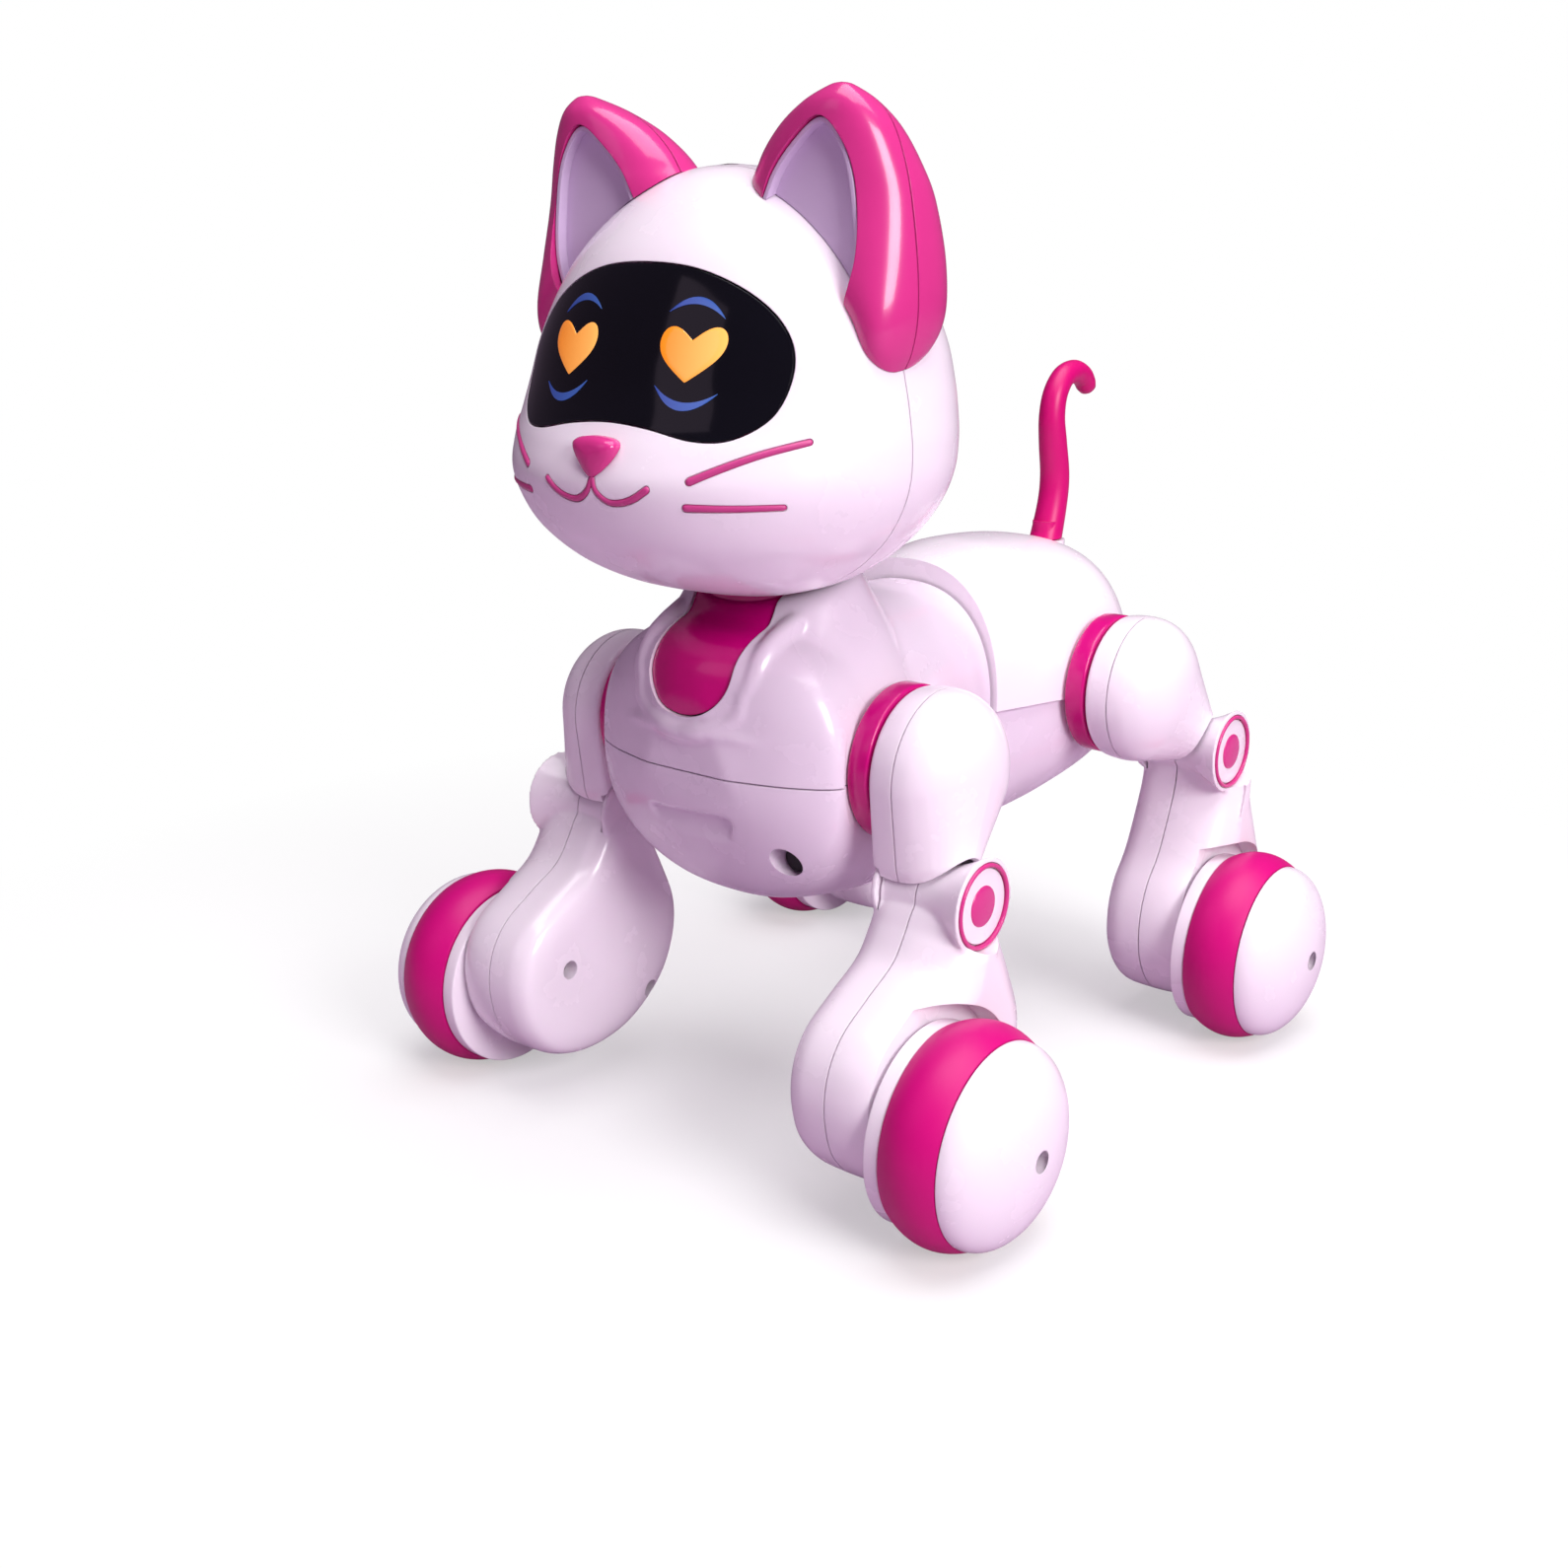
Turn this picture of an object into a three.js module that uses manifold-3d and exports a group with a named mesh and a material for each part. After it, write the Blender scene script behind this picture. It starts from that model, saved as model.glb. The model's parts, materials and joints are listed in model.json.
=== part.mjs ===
// A walking robot cat: hollow two-part shells, a turning and nodding head, four hips, four knees and four
// free-turning wheels. Millimetres, +Z up, the cat faces -Y and its left side is +X. The origin is on the
// floor, midway between the four wheels.
import * as THREE from "three";
import { mergeVertices } from "three/addons/utils/BufferGeometryUtils.js";
import Module from "manifold-3d";

const wasm = await Module();
wasm.setup();

// ---- driving dimensions ----
const GAP = 0.3; // clearance between neighbouring pieces
const WALL = 2.2; // shell thickness
const SLIVER = 0.02; // edges and triangles thinner than this are merged away
const WHEEL = { radius: 27, y: 72.6, inner: 68, tyreIn: 72.3, tyreOut: 87.4, pole: 99.8 };
const HIP = { z: 102, shaft: 5, bore: 6.2, faceX: 37.2, seat: 21,
  ring: { from: 37.6, to: 43.2, radius: 19.4, chamfer: 0.6 } };
const SEAM_X = 55.5; // where inner and outer lower-leg shells meet
const UPPER_SEAM_X = 51; // where inner and outer upper-leg shells meet
const SEAM_Z = 100; // where the belly meets the upper covers
const HEAD_SEAM_Y = -62; // where the face shell meets the back of the head
const NECK = { y: -47, nodZ: 160, radius: 7.2, bore: 8.2 }; // turns upright, nods about a level pin
const WAIST_Y = 14; // chest cover in front, back cover behind
const CHEST_SCREW = [24.3, 79.8]; // x and z
const KNEE_SWING = 18; // degrees each way that the slot in the knee barrel leaves free
const TAIL_Y = 85;
const TAIL_SEAT = 134.5; // top of the flat pad the tail turns on
const DOOR_Z = 57.6; // flat underside of the battery door, which the toy can rest on
const FAR = 200; // a length that reaches past the whole toy

// Torso stations from nose to tail: y, half width, top, bottom.
const TORSO = [
  [-79, 8, 121, 112],
  [-77, 16, 127, 93],
  [-73, 28.6, 131, 81],
  [-67, 37.4, 134, 70],
  [-60, 38, 136, 64.3],
  [-44, 38, 137.3, 60],
  [-26, 36.5, 137.3, 57.5],
  [-4, 31, 134.5, 56.5],
  [WAIST_Y, 28, 133, 57],
  [30, 33, 134, 61],
  [44, 37.5, 135, 64],
  [66, 37.5, 134, 68],
  [80, 31, 130, 73],
  [90, 20, 123, 81],
  [94, 9, 113, 92],
];
// The back cover stands proud of that body: y, half width, top, bottom.
const BACK = [
  [WAIST_Y - 6, 28.5, 138, 90],
  [WAIST_Y, 29.5, 138.5, 90],
  [30, 34.6, 140, 90],
  [44, 38.4, 140.5, 90],
  [66, 38.6, 138.8, 90],
  [80, 32.5, 134.8, 90],
  [91, 22, 127.5, 91],
  [95.5, 11, 117, 94],
];
// Head levels from chin to crown: z, half width, front, back.
const HEAD = [
  [143, 19, -72, -45],
  [146, 29, -83, -39],
  [151, 38.5, -93, -33],
  [158, 46.5, -101, -25.5],
  [165, 51.2, -105, -19.5],
  [172, 53.6, -106, -16],
  [179, 54, -104, -14.5],
  [185, 53.4, -100.3, -14],
  [192, 52.2, -97.3, -14],
  [201, 49.8, -94.8, -15],
  [211, 45, -91, -18],
  [220, 38.5, -86, -23],
  [228, 30, -79.5, -29],
  [234, 20.5, -72.5, -36],
  [238, 10, -65, -46],
];
const HEAD_MID_Y = -59;
// Left ear levels: z, inner edge, outer edge, front, back.
const EAR = [
  [195, 46, 50.6, -67, -60],
  [200, 42.5, 53.3, -71.5, -51],
  [208, 35, 54.8, -72.8, -45.5],
  [219, 21, 54.6, -72.8, -43],
  [231, 10.5, 53, -72.5, -44],
  [239, 13, 50.8, -72.2, -48],
  [246, 19.5, 47.8, -71.8, -53],
  [251, 27.5, 44, -71, -58.5],
  [254, 34.5, 40, -68.5, -64],
];
// Outlines in x and z: the visor, the ear's inner panel and the bib.
const VISOR_OUTLINE = [[0, 218.5], [20, 216.5], [33, 209.5], [38.8, 199], [36.5, 188], [26, 182], [12, 184],
  [0, 185], [-12, 184], [-26, 182], [-36.5, 188], [-38.8, 199], [-33, 209.5], [-20, 216.5]];
const PANEL_OUTLINE = [[35.2, 248], [41.5, 242], [44.4, 232], [45, 217], [39, 206], [28, 212],
  [19, 226], [20.5, 235], [27, 243]];
const BIB_OUTLINE = [[0, 114], [9, 117], [12.8, 124], [13, 134], [13, 150], [-13, 150], [-13, 134],
  [-12.8, 124], [-9, 117]];
// The collar under the head: level, half width, half length.
const COLLAR = [
  [116, 36, 32],
  [126, 32, 27],
  [132, 28.5, 23.5],
  [136.5, 24.5, 20.5],
  [139.3, 21.5, 18.5],
];
const COLLAR_Y = -43.5;
const COLLAR_FRONT_Y = -61; // behind here its rim climbs
// The tail's middle line in y and z from root to tip, with its radius.
const TAIL = [[84, 131, 5], [88.5, 144, 4.5], [89, 155, 4.3], [87, 165, 4.1], [87.3, 175.5, 3.7],
  [91.5, 181.6, 3.5], [98, 183, 3.4], [103, 181.5, 3.3], [105.8, 178.8, 3.1]];
const FRONT_LEG = {
  name: "front",
  wheelY: -WHEEL.y,
  hip: [-44, HIP.z],
  pod: [[-44, 101.5, 20.3], [-50.5, 84, 11.5]],
  knee: [-53, 74.5],
  screws: [[-78, 37], [-47, 21]],
  // The lower leg's outline in y and z, anticlockwise seen from outside.
  outline: [[-60.7, 73], [-64.2, 67.6], [-69, 61.5], [-79, 56], [-88.5, 50], [-93.6, 42], [-94.5, 32],
    [-91, 21], [-82, 12.5], [-69, 9.3], [-54, 11.7], [-41, 20.5], [-34.5, 32], [-33.5, 44],
    [-38, 56], [-43.5, 67], [-48, 74], [-54, 77]],
};
const REAR_LEG = {
  name: "rear",
  wheelY: WHEEL.y,
  hip: [55, HIP.z],
  pod: [[55.2, 101.8, 20.3], [69.3, 90, 11.6]],
  knee: [75, 82.5],
  screws: [[62, 22], [92, 40]],
  outline: [[71.6, 79.8], [70.2, 71], [66.8, 62], [62, 52], [56, 44], [53, 35], [53.5, 24.5], [58.5, 15],
    [66, 9], [77, 8], [89, 11.5], [98, 20], [102.5, 32], [102, 43], [97, 55], [92, 66], [87, 77], [79, 85]],
};
// Along x, the share of its full outline that an upper leg has at each level.
const POD_LEVELS = [[43.6, 0.93], [45, 0.98], [UPPER_SEAM_X, 1], [55.5, 0.95], [60, 0.79], [63, 0.57],
  [64.6, 0.25]];
// Along x, how far a lower leg is drawn in from its outline at each level.
const LEG_LEVELS = [[42.4, 8], [43, 4], [46, 0.6], [51, 0], [60, 0], [66, 1.2], [70.2, 4.1], [73.6, 10.2]];
const ARCH = { from: 66.7, radius: 28.9 };
const SPOOL = { inner: 43.8, flangeEnd: 45.6, outer: 70, waist: 7.3, flare: 11.2, flange: 9.2 };

// ---- colours and finishes ----
const finish = (color, roughness, metalness = 0) =>
  new THREE.MeshStandardMaterial({ color, roughness, metalness });
const SHELL = finish(0xf6e4f2, 0.28);
const MAGENTA = finish(0xd4087c, 0.3);
const EAR_PINK = finish(0xe6479a, 0.3);
const LAVENDER = finish(0xd3b6d8, 0.35);
const VISOR = finish(0x050508, 0.08);
const TYRE = finish(0xd6087e, 0.45);
const BOARD = finish(0x1f6b3a, 0.6);
const DARK = finish(0x26262b, 0.55);

// ---- geometry helpers ----
// A closed solid from corner points and triangles, turned to face outwards.
function closedSolid(points, triangles) {
  let volume = 0;
  for (const [a, b, c] of triangles) volume += points[a].dot(points[b].clone().cross(points[c]));
  const facing = volume < 0 ? triangles.map(([a, b, c]) => [a, c, b]) : triangles;
  const vertProperties = new Float32Array(points.flatMap((p) => p.toArray()));
  const triVerts = new Uint32Array(facing.flat());
  return new wasm.Manifold(new wasm.Mesh({ numProp: 3, vertProperties, triVerts }));
}

// A solid from one of the three.js geometry classes.
function solidOf(geometry) {
  const bare = new THREE.BufferGeometry();
  bare.setAttribute("position", geometry.getAttribute("position"));
  bare.setIndex(geometry.index);
  const merged = mergeVertices(bare, 1e-3);
  const position = merged.getAttribute("position");
  const points = [];
  for (let i = 0; i < position.count; i++) points.push(new THREE.Vector3().fromBufferAttribute(position, i));
  const triangles = [];
  for (let i = 0; i < merged.index.count; i += 3) {
    const [a, b, c] = merged.index.array.slice(i, i + 3);
    if (a !== b && b !== c && c !== a) triangles.push([a, b, c]);
  }
  return closedSolid(points, triangles);
}

// Skin over a stack of rings that all have the same number of points, with both ends closed.
function loft(rings) {
  const count = rings[0].length;
  const points = rings.flat();
  const triangles = [];
  for (let r = 0; r + 1 < rings.length; r++) {
    for (let i = 0; i < count; i++) {
      const a = r * count + i;
      const b = r * count + ((i + 1) % count);
      triangles.push([a, b, b + count], [a, b + count, a + count]);
    }
  }
  for (const [ring, start] of [[rings[0], 0], [rings.at(-1), (rings.length - 1) * count]]) {
    const middle = points.length;
    points.push(ring.reduce((sum, p) => sum.add(p), new THREE.Vector3()).divideScalar(count));
    for (let i = 0; i < count; i++) {
      const pair = [start + i, start + ((i + 1) % count)];
      triangles.push(start === 0 ? [middle, pair[1], pair[0]] : [middle, pair[0], pair[1]]);
    }
  }
  return closedSolid(points, triangles);
}

// The same rings drawn in (or out, if negative) by about one distance on every side.
function drawnIn(rings, distance) {
  const box = new THREE.Box3().setFromPoints(rings.flat());
  const centre = box.getCenter(new THREE.Vector3());
  const half = box.getSize(new THREE.Vector3()).divideScalar(2);
  const scale = half.clone().subScalar(distance).divide(half);
  return rings.map((ring) => ring.map((p) => p.clone().sub(centre).multiply(scale).add(centre)));
}

const power = (value, exponent) => Math.sign(value) * Math.abs(value) ** exponent;
const turns = (count) => Array.from({ length: count }, (_, i) => (2 * Math.PI * i) / count);

// A box given by its two extreme corners.
function box(low, high) {
  const size = high.map((v, i) => v - low[i]);
  const geometry = new THREE.BoxGeometry(...size);
  return solidOf(geometry.translate(...low.map((v, i) => v + size[i] / 2)));
}

// A round bar along x, y or z between two stations, centred on the other two coordinates in order.
function bar(axis, from, to, [u, v], radius, segments = 20) {
  const geometry = new THREE.CylinderGeometry(radius, radius, to - from, segments);
  const middle = (from + to) / 2;
  if (axis === "x") geometry.rotateZ(-Math.PI / 2).translate(middle, u, v);
  if (axis === "y") geometry.translate(u, middle, v);
  if (axis === "z") geometry.rotateX(Math.PI / 2).translate(u, v, middle);
  return solidOf(geometry);
}

// A solid of revolution about a level line along x through (y, z); the profile holds [x, radius] pairs.
function turned(profile, [y, z], segments = 24) {
  const outline = profile.map(([x, radius]) => new THREE.Vector2(Math.max(radius, 0), x));
  outline.push(outline[0].clone());
  const geometry = new THREE.LatheGeometry(outline, segments);
  return solidOf(geometry.rotateZ(-Math.PI / 2).translate(0, y, z));
}

// A closed smooth curve through [u, v] corner points, as a flat shape.
function smoothShape(corners, steps = 28) {
  const curve = new THREE.CatmullRomCurve3(corners.map(([u, v]) => new THREE.Vector3(u, v, 0)), true);
  return new THREE.Shape(curve.getSpacedPoints(steps).slice(0, -1).map((p) => new THREE.Vector2(p.x, p.y)));
}

// A flat shape in x and z, pushed along y from one station to another.
function slabAlongY(shape, from, to) {
  const geometry = new THREE.ExtrudeGeometry(shape, { depth: to - from, bevelEnabled: false });
  return solidOf(geometry.rotateX(Math.PI / 2).translate(0, to, 0));
}

// A flat shape in y and z, pushed along x from one station to another.
function slabAlongX(shape, from, to) {
  const geometry = new THREE.ExtrudeGeometry(shape, { depth: to - from, bevelEnabled: false });
  const turn = new THREE.Matrix4().makeBasis(
    new THREE.Vector3(0, 1, 0), new THREE.Vector3(0, 0, 1), new THREE.Vector3(1, 0, 0));
  return solidOf(geometry.applyMatrix4(turn).translate(from, 0, 0));
}

// Corner points drawn in towards their own middle by a distance.
function drawnInCorners(corners, distance) {
  const middle = [0, 1].map((k) => corners.reduce((sum, c) => sum + c[k], 0) / corners.length);
  return corners.map((c) => {
    const away = c.map((value, k) => value - middle[k]);
    const reach = Math.hypot(...away);
    return away.map((value, k) => middle[k] + (value * (reach - distance)) / reach);
  });
}

// The same solid on the other side of the toy.
function mirrored(solid) {
  const { numProp, vertProperties, triVerts } = solid.getMesh();
  const points = [];
  for (let i = 0; i < vertProperties.length; i += numProp) {
    points.push(new THREE.Vector3(-vertProperties[i], vertProperties[i + 1], vertProperties[i + 2]));
  }
  const triangles = [];
  for (let i = 0; i < triVerts.length; i += 3) triangles.push([...triVerts.slice(i, i + 3)]);
  return closedSolid(points, triangles);
}

// A solid as a named mesh of the toy, without the hair-thin triangles that cuts can leave.
function piece(name, solid, material, parent) {
  const { numProp, vertProperties, triVerts } = solid.setTolerance(SLIVER).getMesh();
  const geometry = new THREE.BufferGeometry();
  const position = Float32Array.from({ length: (vertProperties.length / numProp) * 3 }, (_, i) =>
    vertProperties[Math.floor(i / 3) * numProp + (i % 3)]);
  geometry.setAttribute("position", new THREE.BufferAttribute(position, 3));
  geometry.setIndex(new THREE.BufferAttribute(Uint32Array.from(triVerts), 1));
  geometry.computeVertexNormals();
  const mesh = new THREE.Mesh(geometry, material);
  mesh.name = name;
  parent.add(mesh);
  return mesh;
}

// Everything on one side of a plane square to an axis: 0 is x, 1 is y, 2 is z.
function slab(axis, from, to) {
  const low = [-FAR, -FAR, -FAR];
  const high = [FAR, FAR, 2 * FAR];
  low[axis] = Math.max(from, low[axis]);
  high[axis] = Math.min(to, high[axis]);
  return box(low, high);
}

// ---- torso ----
// A ring of the torso at one station, widest at the level seam.
function torsoRing([y, width, top, bottom], count) {
  const seam = Math.min(Math.max(SEAM_Z, bottom), top);
  return turns(count).map((angle) => {
    const reach = Math.sin(angle) > 0 ? top - seam : seam - bottom;
    return new THREE.Vector3(
      power(Math.cos(angle), 2 / 2.4) * width, y, seam + power(Math.sin(angle), 2 / 2.4) * reach);
  });
}

const torsoRings = (rows, count) => rows.map((row) => torsoRing(row, count));
const torsoOuter = loft(torsoRings(TORSO, 16));
const torsoInner = loft(drawnIn(torsoRings(TORSO, 10), WALL));
const backOuter = loft(torsoRings(BACK, 16));
const backInner = loft(drawnIn(torsoRings(BACK, 10), WALL));
const upperHalf = slab(2, SEAM_Z + GAP / 2, 2 * FAR);

// The collar as a solid: at full size, or smaller to hollow it out.
function collar(scale, count) {
  const rings = COLLAR.map(([z, halfX, halfY], i) => turns(count).map((angle) => {
    const y = COLLAR_Y + scale * halfY * Math.sin(angle);
    const top = i === COLLAR.length - 1;
    const climb = (Math.min(Math.max(y - COLLAR_FRONT_Y, 0) * 0.45, 7.4) * i) / (COLLAR.length - 1);
    return new THREE.Vector3(scale * halfX * Math.cos(angle), y, z + climb + (scale < 1 && top ? 1 : 0));
  }));
  return loft(rings);
}
const collarOuter = collar(1, 18);
const collarInner = collar(0.88, 12);

// Room for each hip's turning ring and the bore for its shaft.
function withHipSeats(shell) {
  let solid = shell;
  for (const { hip } of [FRONT_LEG, REAR_LEG]) {
    const { faceX, bore, seat } = HIP;
    const web = bar("x", 33, faceX, hip, 11, 16);
    for (const side of [web, mirrored(web)]) solid = solid.add(side);
    for (const [from, to] of [[faceX, 60], [-60, -faceX]]) {
      solid = solid.subtract(bar("x", from, to, hip, seat, 22));
    }
    solid = solid.subtract(bar("x", -60, 60, hip, bore, 14));
  }
  return solid;
}

function makeTorso(group) {
  const front = upperHalf.intersect(slab(1, -FAR, WAIST_Y - GAP / 2));
  const back = upperHalf.intersect(slab(1, WAIST_Y + GAP / 2, FAR));
  const lower = slab(2, -FAR, SEAM_Z - GAP / 2);

  const bibSlab = slabAlongY(smoothShape(BIB_OUTLINE, 22), -90, -56);
  const chestShell = torsoOuter.add(collarOuter).subtract(torsoInner).subtract(collarInner);
  const chest = withHipSeats(chestShell).intersect(front).subtract(bibSlab);
  piece("chest_cover", chest, SHELL, group);

  const tailBore = bar("z", 110, 150, [0, TAIL_Y], 4.2, 12);
  const tailPad = bar("z", 122, TAIL_SEAT, [0, TAIL_Y], 6, 14);
  const backShell = withHipSeats(backOuter.subtract(backInner)).intersect(back).add(tailPad);
  piece("back_cover", backShell.subtract(tailBore), SHELL, group);

  const doorOpening = box([-16.3, -36.3, 40], [16.3, 8.3, 63]);
  const switchSlot = box([-5, 21.6, 40], [5, 26.4, 66]);
  const bellyShell = withHipSeats(torsoOuter.subtract(torsoInner)).intersect(lower);
  let belly = bellyShell.subtract(doorOpening).subtract(switchSlot);
  const pocket = box([-14, -90, 82], [12, -74.6, 89]);
  belly = belly.subtract(pocket);
  for (const y of [60, 65, 70]) belly = belly.subtract(box([-9, y, 50], [9, y + 1.8, 80]));
  for (const x of [-13, 13]) belly = belly.subtract(bar("z", 40, 80, [x, -44], 2.6, 10));
  belly = belly.subtract(bar("y", -90, -60, CHEST_SCREW, 3.9, 12));
  piece("belly_shell", belly, SHELL, group);

  const bibPlate = torsoOuter.add(collarOuter).subtract(torsoInner).subtract(collarInner)
    .intersect(slabAlongY(smoothShape(drawnInCorners(BIB_OUTLINE, GAP), 22), -90, -56)).intersect(front);
  const plug = bar("z", 128, 144, [0, COLLAR_Y], 16, 18)
    .subtract(bar("z", 120, 150, [0, NECK.y], NECK.bore, 14));
  const bridge = box([-8, -66, 129], [8, -58, 135]).intersect(torsoOuter.add(collarOuter));
  piece("chest_bib", bibPlate.add(plug).add(bridge), MAGENTA, group);

  const doorSkin = loft(drawnIn(torsoRings(TORSO, 16), -0.8));
  const door = box([-16, -36, DOOR_Z], [16, 8, DOOR_Z + 3.9]).intersect(doorSkin);
  piece("battery_door", door, SHELL, group);
  makeInsides(group);
}

// ---- inside the torso ----
function makeInsides(group) {
  for (const { name, hip } of [FRONT_LEG, REAR_LEG]) {
    const [y] = hip;
    const shaftBores = bar("x", -30, 30, [y, HIP.z], HIP.shaft + GAP, 12);
    const core = box([-13, y - 11, 92], [13, y + 11, 111.5]);
    const housing = box([-24, y - 11, 92], [24, y + 11, 111.5]);
    piece(name + "_hip_gearbox", housing.subtract(shaftBores.subtract(core)), DARK, group);
  }
  let cells = box([-14.8, -19, 65], [14.8, -7, 78.2]);
  for (const x of [-7.2, 7.2]) cells = cells.add(bar("y", -38, 12, [x, 70.7], 7, 12));
  piece("battery_pack", cells, DARK, group);
  piece("main_board", box([-20, -28, 84], [20, 30, 85.6]), BOARD, group);
  const cone = new THREE.CylinderGeometry(7, 13, 7, 14).rotateX(Math.PI / 2).translate(0, 65, 80.5);
  piece("speaker", solidOf(cone), DARK, group);
  const knob = box([-4.5, 22, 57.6], [1.5, 26, 66]).add(box([-8, 20, 65], [5, 28, 66.4]));
  piece("power_switch", knob, DARK, group);
}

function makeNeckAndTail(group) {
  const post = bar("z", 114, 158, [0, NECK.y], NECK.radius, 16).add(bar("z", 114, 117, [0, NECK.y], 12, 16))
    .add(bar("x", -13, 13, [NECK.y, NECK.nodZ], 5, 14)).add(bar("x", -18, 18, [NECK.y, NECK.nodZ], 2.8, 10));
  piece("neck_post", post, MAGENTA, group);

  const path = new THREE.CatmullRomCurve3(TAIL.map(([y, z]) => new THREE.Vector3(0, y, z)));
  const radii = new THREE.CatmullRomCurve3(TAIL.map(([, , r], i) => new THREE.Vector3(i, r, 0)));
  const sideways = new THREE.Vector3(1, 0, 0);
  const steps = 10;
  const rings = Array.from({ length: steps + 3 }, (_, i) => {
    const u = Math.min(i / steps, 1);
    const closing = i > steps ? [0.75, 0.3][i - steps - 1] : 1;
    const along = path.getTangent(u);
    const centre = path.getPoint(u).addScaledVector(along, i > steps ? 1.2 * (i - steps) : 0);
    const up = along.clone().cross(sideways);
    return turns(10).map((angle) => centre.clone()
      .addScaledVector(sideways, radii.getPoint(u).y * closing * Math.cos(angle))
      .addScaledVector(up, radii.getPoint(u).y * closing * Math.sin(angle)));
  });
  const root = bar("z", 119, 140, [0, TAIL_Y], 3.8, 12).add(bar("z", 119, 121.5, [0, TAIL_Y], 5.6, 12));
  const tail = loft(rings).intersect(slab(2, TAIL_SEAT + GAP, FAR + 50)).add(root);
  piece("tail", tail, MAGENTA, group);
}

// ---- head ----
function headRings(count) {
  return HEAD.map(([z, width, front, back]) => turns(count).map((angle) => {
    const ahead = Math.sin(angle) < 0;
    const depth = ahead ? HEAD_MID_Y - front : back - HEAD_MID_Y;
    const squareness = ahead ? 2 / 2.15 : 2 / 2.3;
    const x = power(Math.cos(angle), squareness) * width;
    return new THREE.Vector3(x, HEAD_MID_Y + power(Math.sin(angle), squareness) * depth, z);
  }));
}

function earRings(count) {
  return EAR.map(([z, inner, outer, front, back]) => turns(count).map((angle) => new THREE.Vector3(
    (inner + outer) / 2 + (power(Math.cos(angle), 2 / 2.4) * (outer - inner)) / 2,
    (front + back) / 2 + (power(Math.sin(angle), 2 / 2.4) * (back - front)) / 2,
    z)));
}

const headOuter = loft(headRings(20));
const headInner = loft(drawnIn(headRings(12), WALL));
const headAround = loft(drawnIn(headRings(20), -GAP));
const faceHalf = slab(1, -FAR, HEAD_SEAM_Y - GAP / 2);
const rearHalf = slab(1, HEAD_SEAM_Y + GAP / 2, FAR);

function makeHead(group) {
  const neckHole = bar("z", 130, 150.5, [0, NECK.y], 26, 24);
  const shell = headOuter.subtract(headInner).subtract(neckHole);
  const visorSlab = (draw) => slabAlongY(smoothShape(drawnInCorners(VISOR_OUTLINE, draw), 20), -120, -66);
  const noseCorners = [[6.6, 182], [6, 178.5], [0, 173.4], [-6, 178.5], [-6.6, 182], [0, 183]];
  const noseSlab = (draw, from, to) =>
    slabAlongY(smoothShape(drawnInCorners(noseCorners, draw), 12), from, to);
  const face = shell.intersect(faceHalf).subtract(visorSlab(0)).subtract(noseSlab(2, -110, -95));
  piece("head_front_shell", face, SHELL, group);
  const visor = loft(drawnIn(headRings(20), 0.2)).subtract(headInner)
    .intersect(visorSlab(GAP)).intersect(faceHalf);
  piece("face_visor", visor, VISOR, group);
  piece("eye_display", box([-24, -83, 188], [24, -81, 210]), DARK, group);
  const nose = noseSlab(0, -107, -99).subtract(headAround).add(noseSlab(2.4, -106, -99.5));
  piece("nose", nose, EAR_PINK, group);

  // Two lugs behind the neck carry the nod pin.
  const pinBore = bar("x", -20, 20, [NECK.y, NECK.nodZ], 3.1, 12);
  let rear = shell.intersect(rearHalf);
  for (const x of [-16.6, 13.6]) {
    rear = rear.add(box([x, -53, 154.5], [x + 3, -12, 165.5]).intersect(headOuter));
  }
  piece("head_rear_shell", rear.subtract(pinBore), SHELL, group);
  for (const side of ["left", "right"]) makeEar(side, group);
}

function makeEar(side, group) {
  const holder = new THREE.Group();
  holder.scale.x = side === "left" ? 1 : -1;
  group.add(holder);
  const panelSlab = (draw, from, to) =>
    slabAlongY(smoothShape(drawnInCorners(PANEL_OUTLINE, draw), 10), from, to);
  const ear = loft(earRings(16)).subtract(headAround);
  const hollow = loft(drawnIn(earRings(8), WALL));
  const shell = ear.subtract(hollow);
  piece("ear_front_" + side, shell.subtract(panelSlab(0, -80, -66)).intersect(faceHalf), EAR_PINK, holder);
  piece("ear_rear_" + side, shell.intersect(rearHalf), EAR_PINK, holder);
  const cup = panelSlab(GAP, -70.4, -66.5).subtract(panelSlab(1.5, -80, -68)).subtract(headAround);
  piece("ear_inner_" + side, cup, LAVENDER, holder);
}

// ---- legs ----
// A belt round two circles: one outline point for each direction.
function beltRing(x, big, small, count) {
  return turns(count).map((angle) => {
    const toward = [Math.cos(angle), Math.sin(angle)];
    const reach = ([y, z, r]) => y * toward[0] + z * toward[1] + r;
    const [y, z, r] = reach(big) >= reach(small) ? big : small;
    return new THREE.Vector3(x, y + r * toward[0], z + r * toward[1]);
  });
}

// The same level, nearer the middle of a shell by a share of its wall.
const levelDrawnIn = (x, levels, shrink) => {
  const middle = (levels[0][0] + levels.at(-1)[0]) / 2;
  const reach = levels.at(-1)[0] - middle;
  return middle + ((x - middle) * (reach - shrink)) / reach;
};

function podRings(leg, shrink, count) {
  return POD_LEVELS.map(([x, scale]) => {
    const circles = leg.pod.map(([y, z, r]) => [y, z, Math.max(r * scale - shrink, 1)]);
    return beltRing(levelDrawnIn(x, POD_LEVELS, shrink), ...circles, count);
  });
}

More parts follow.
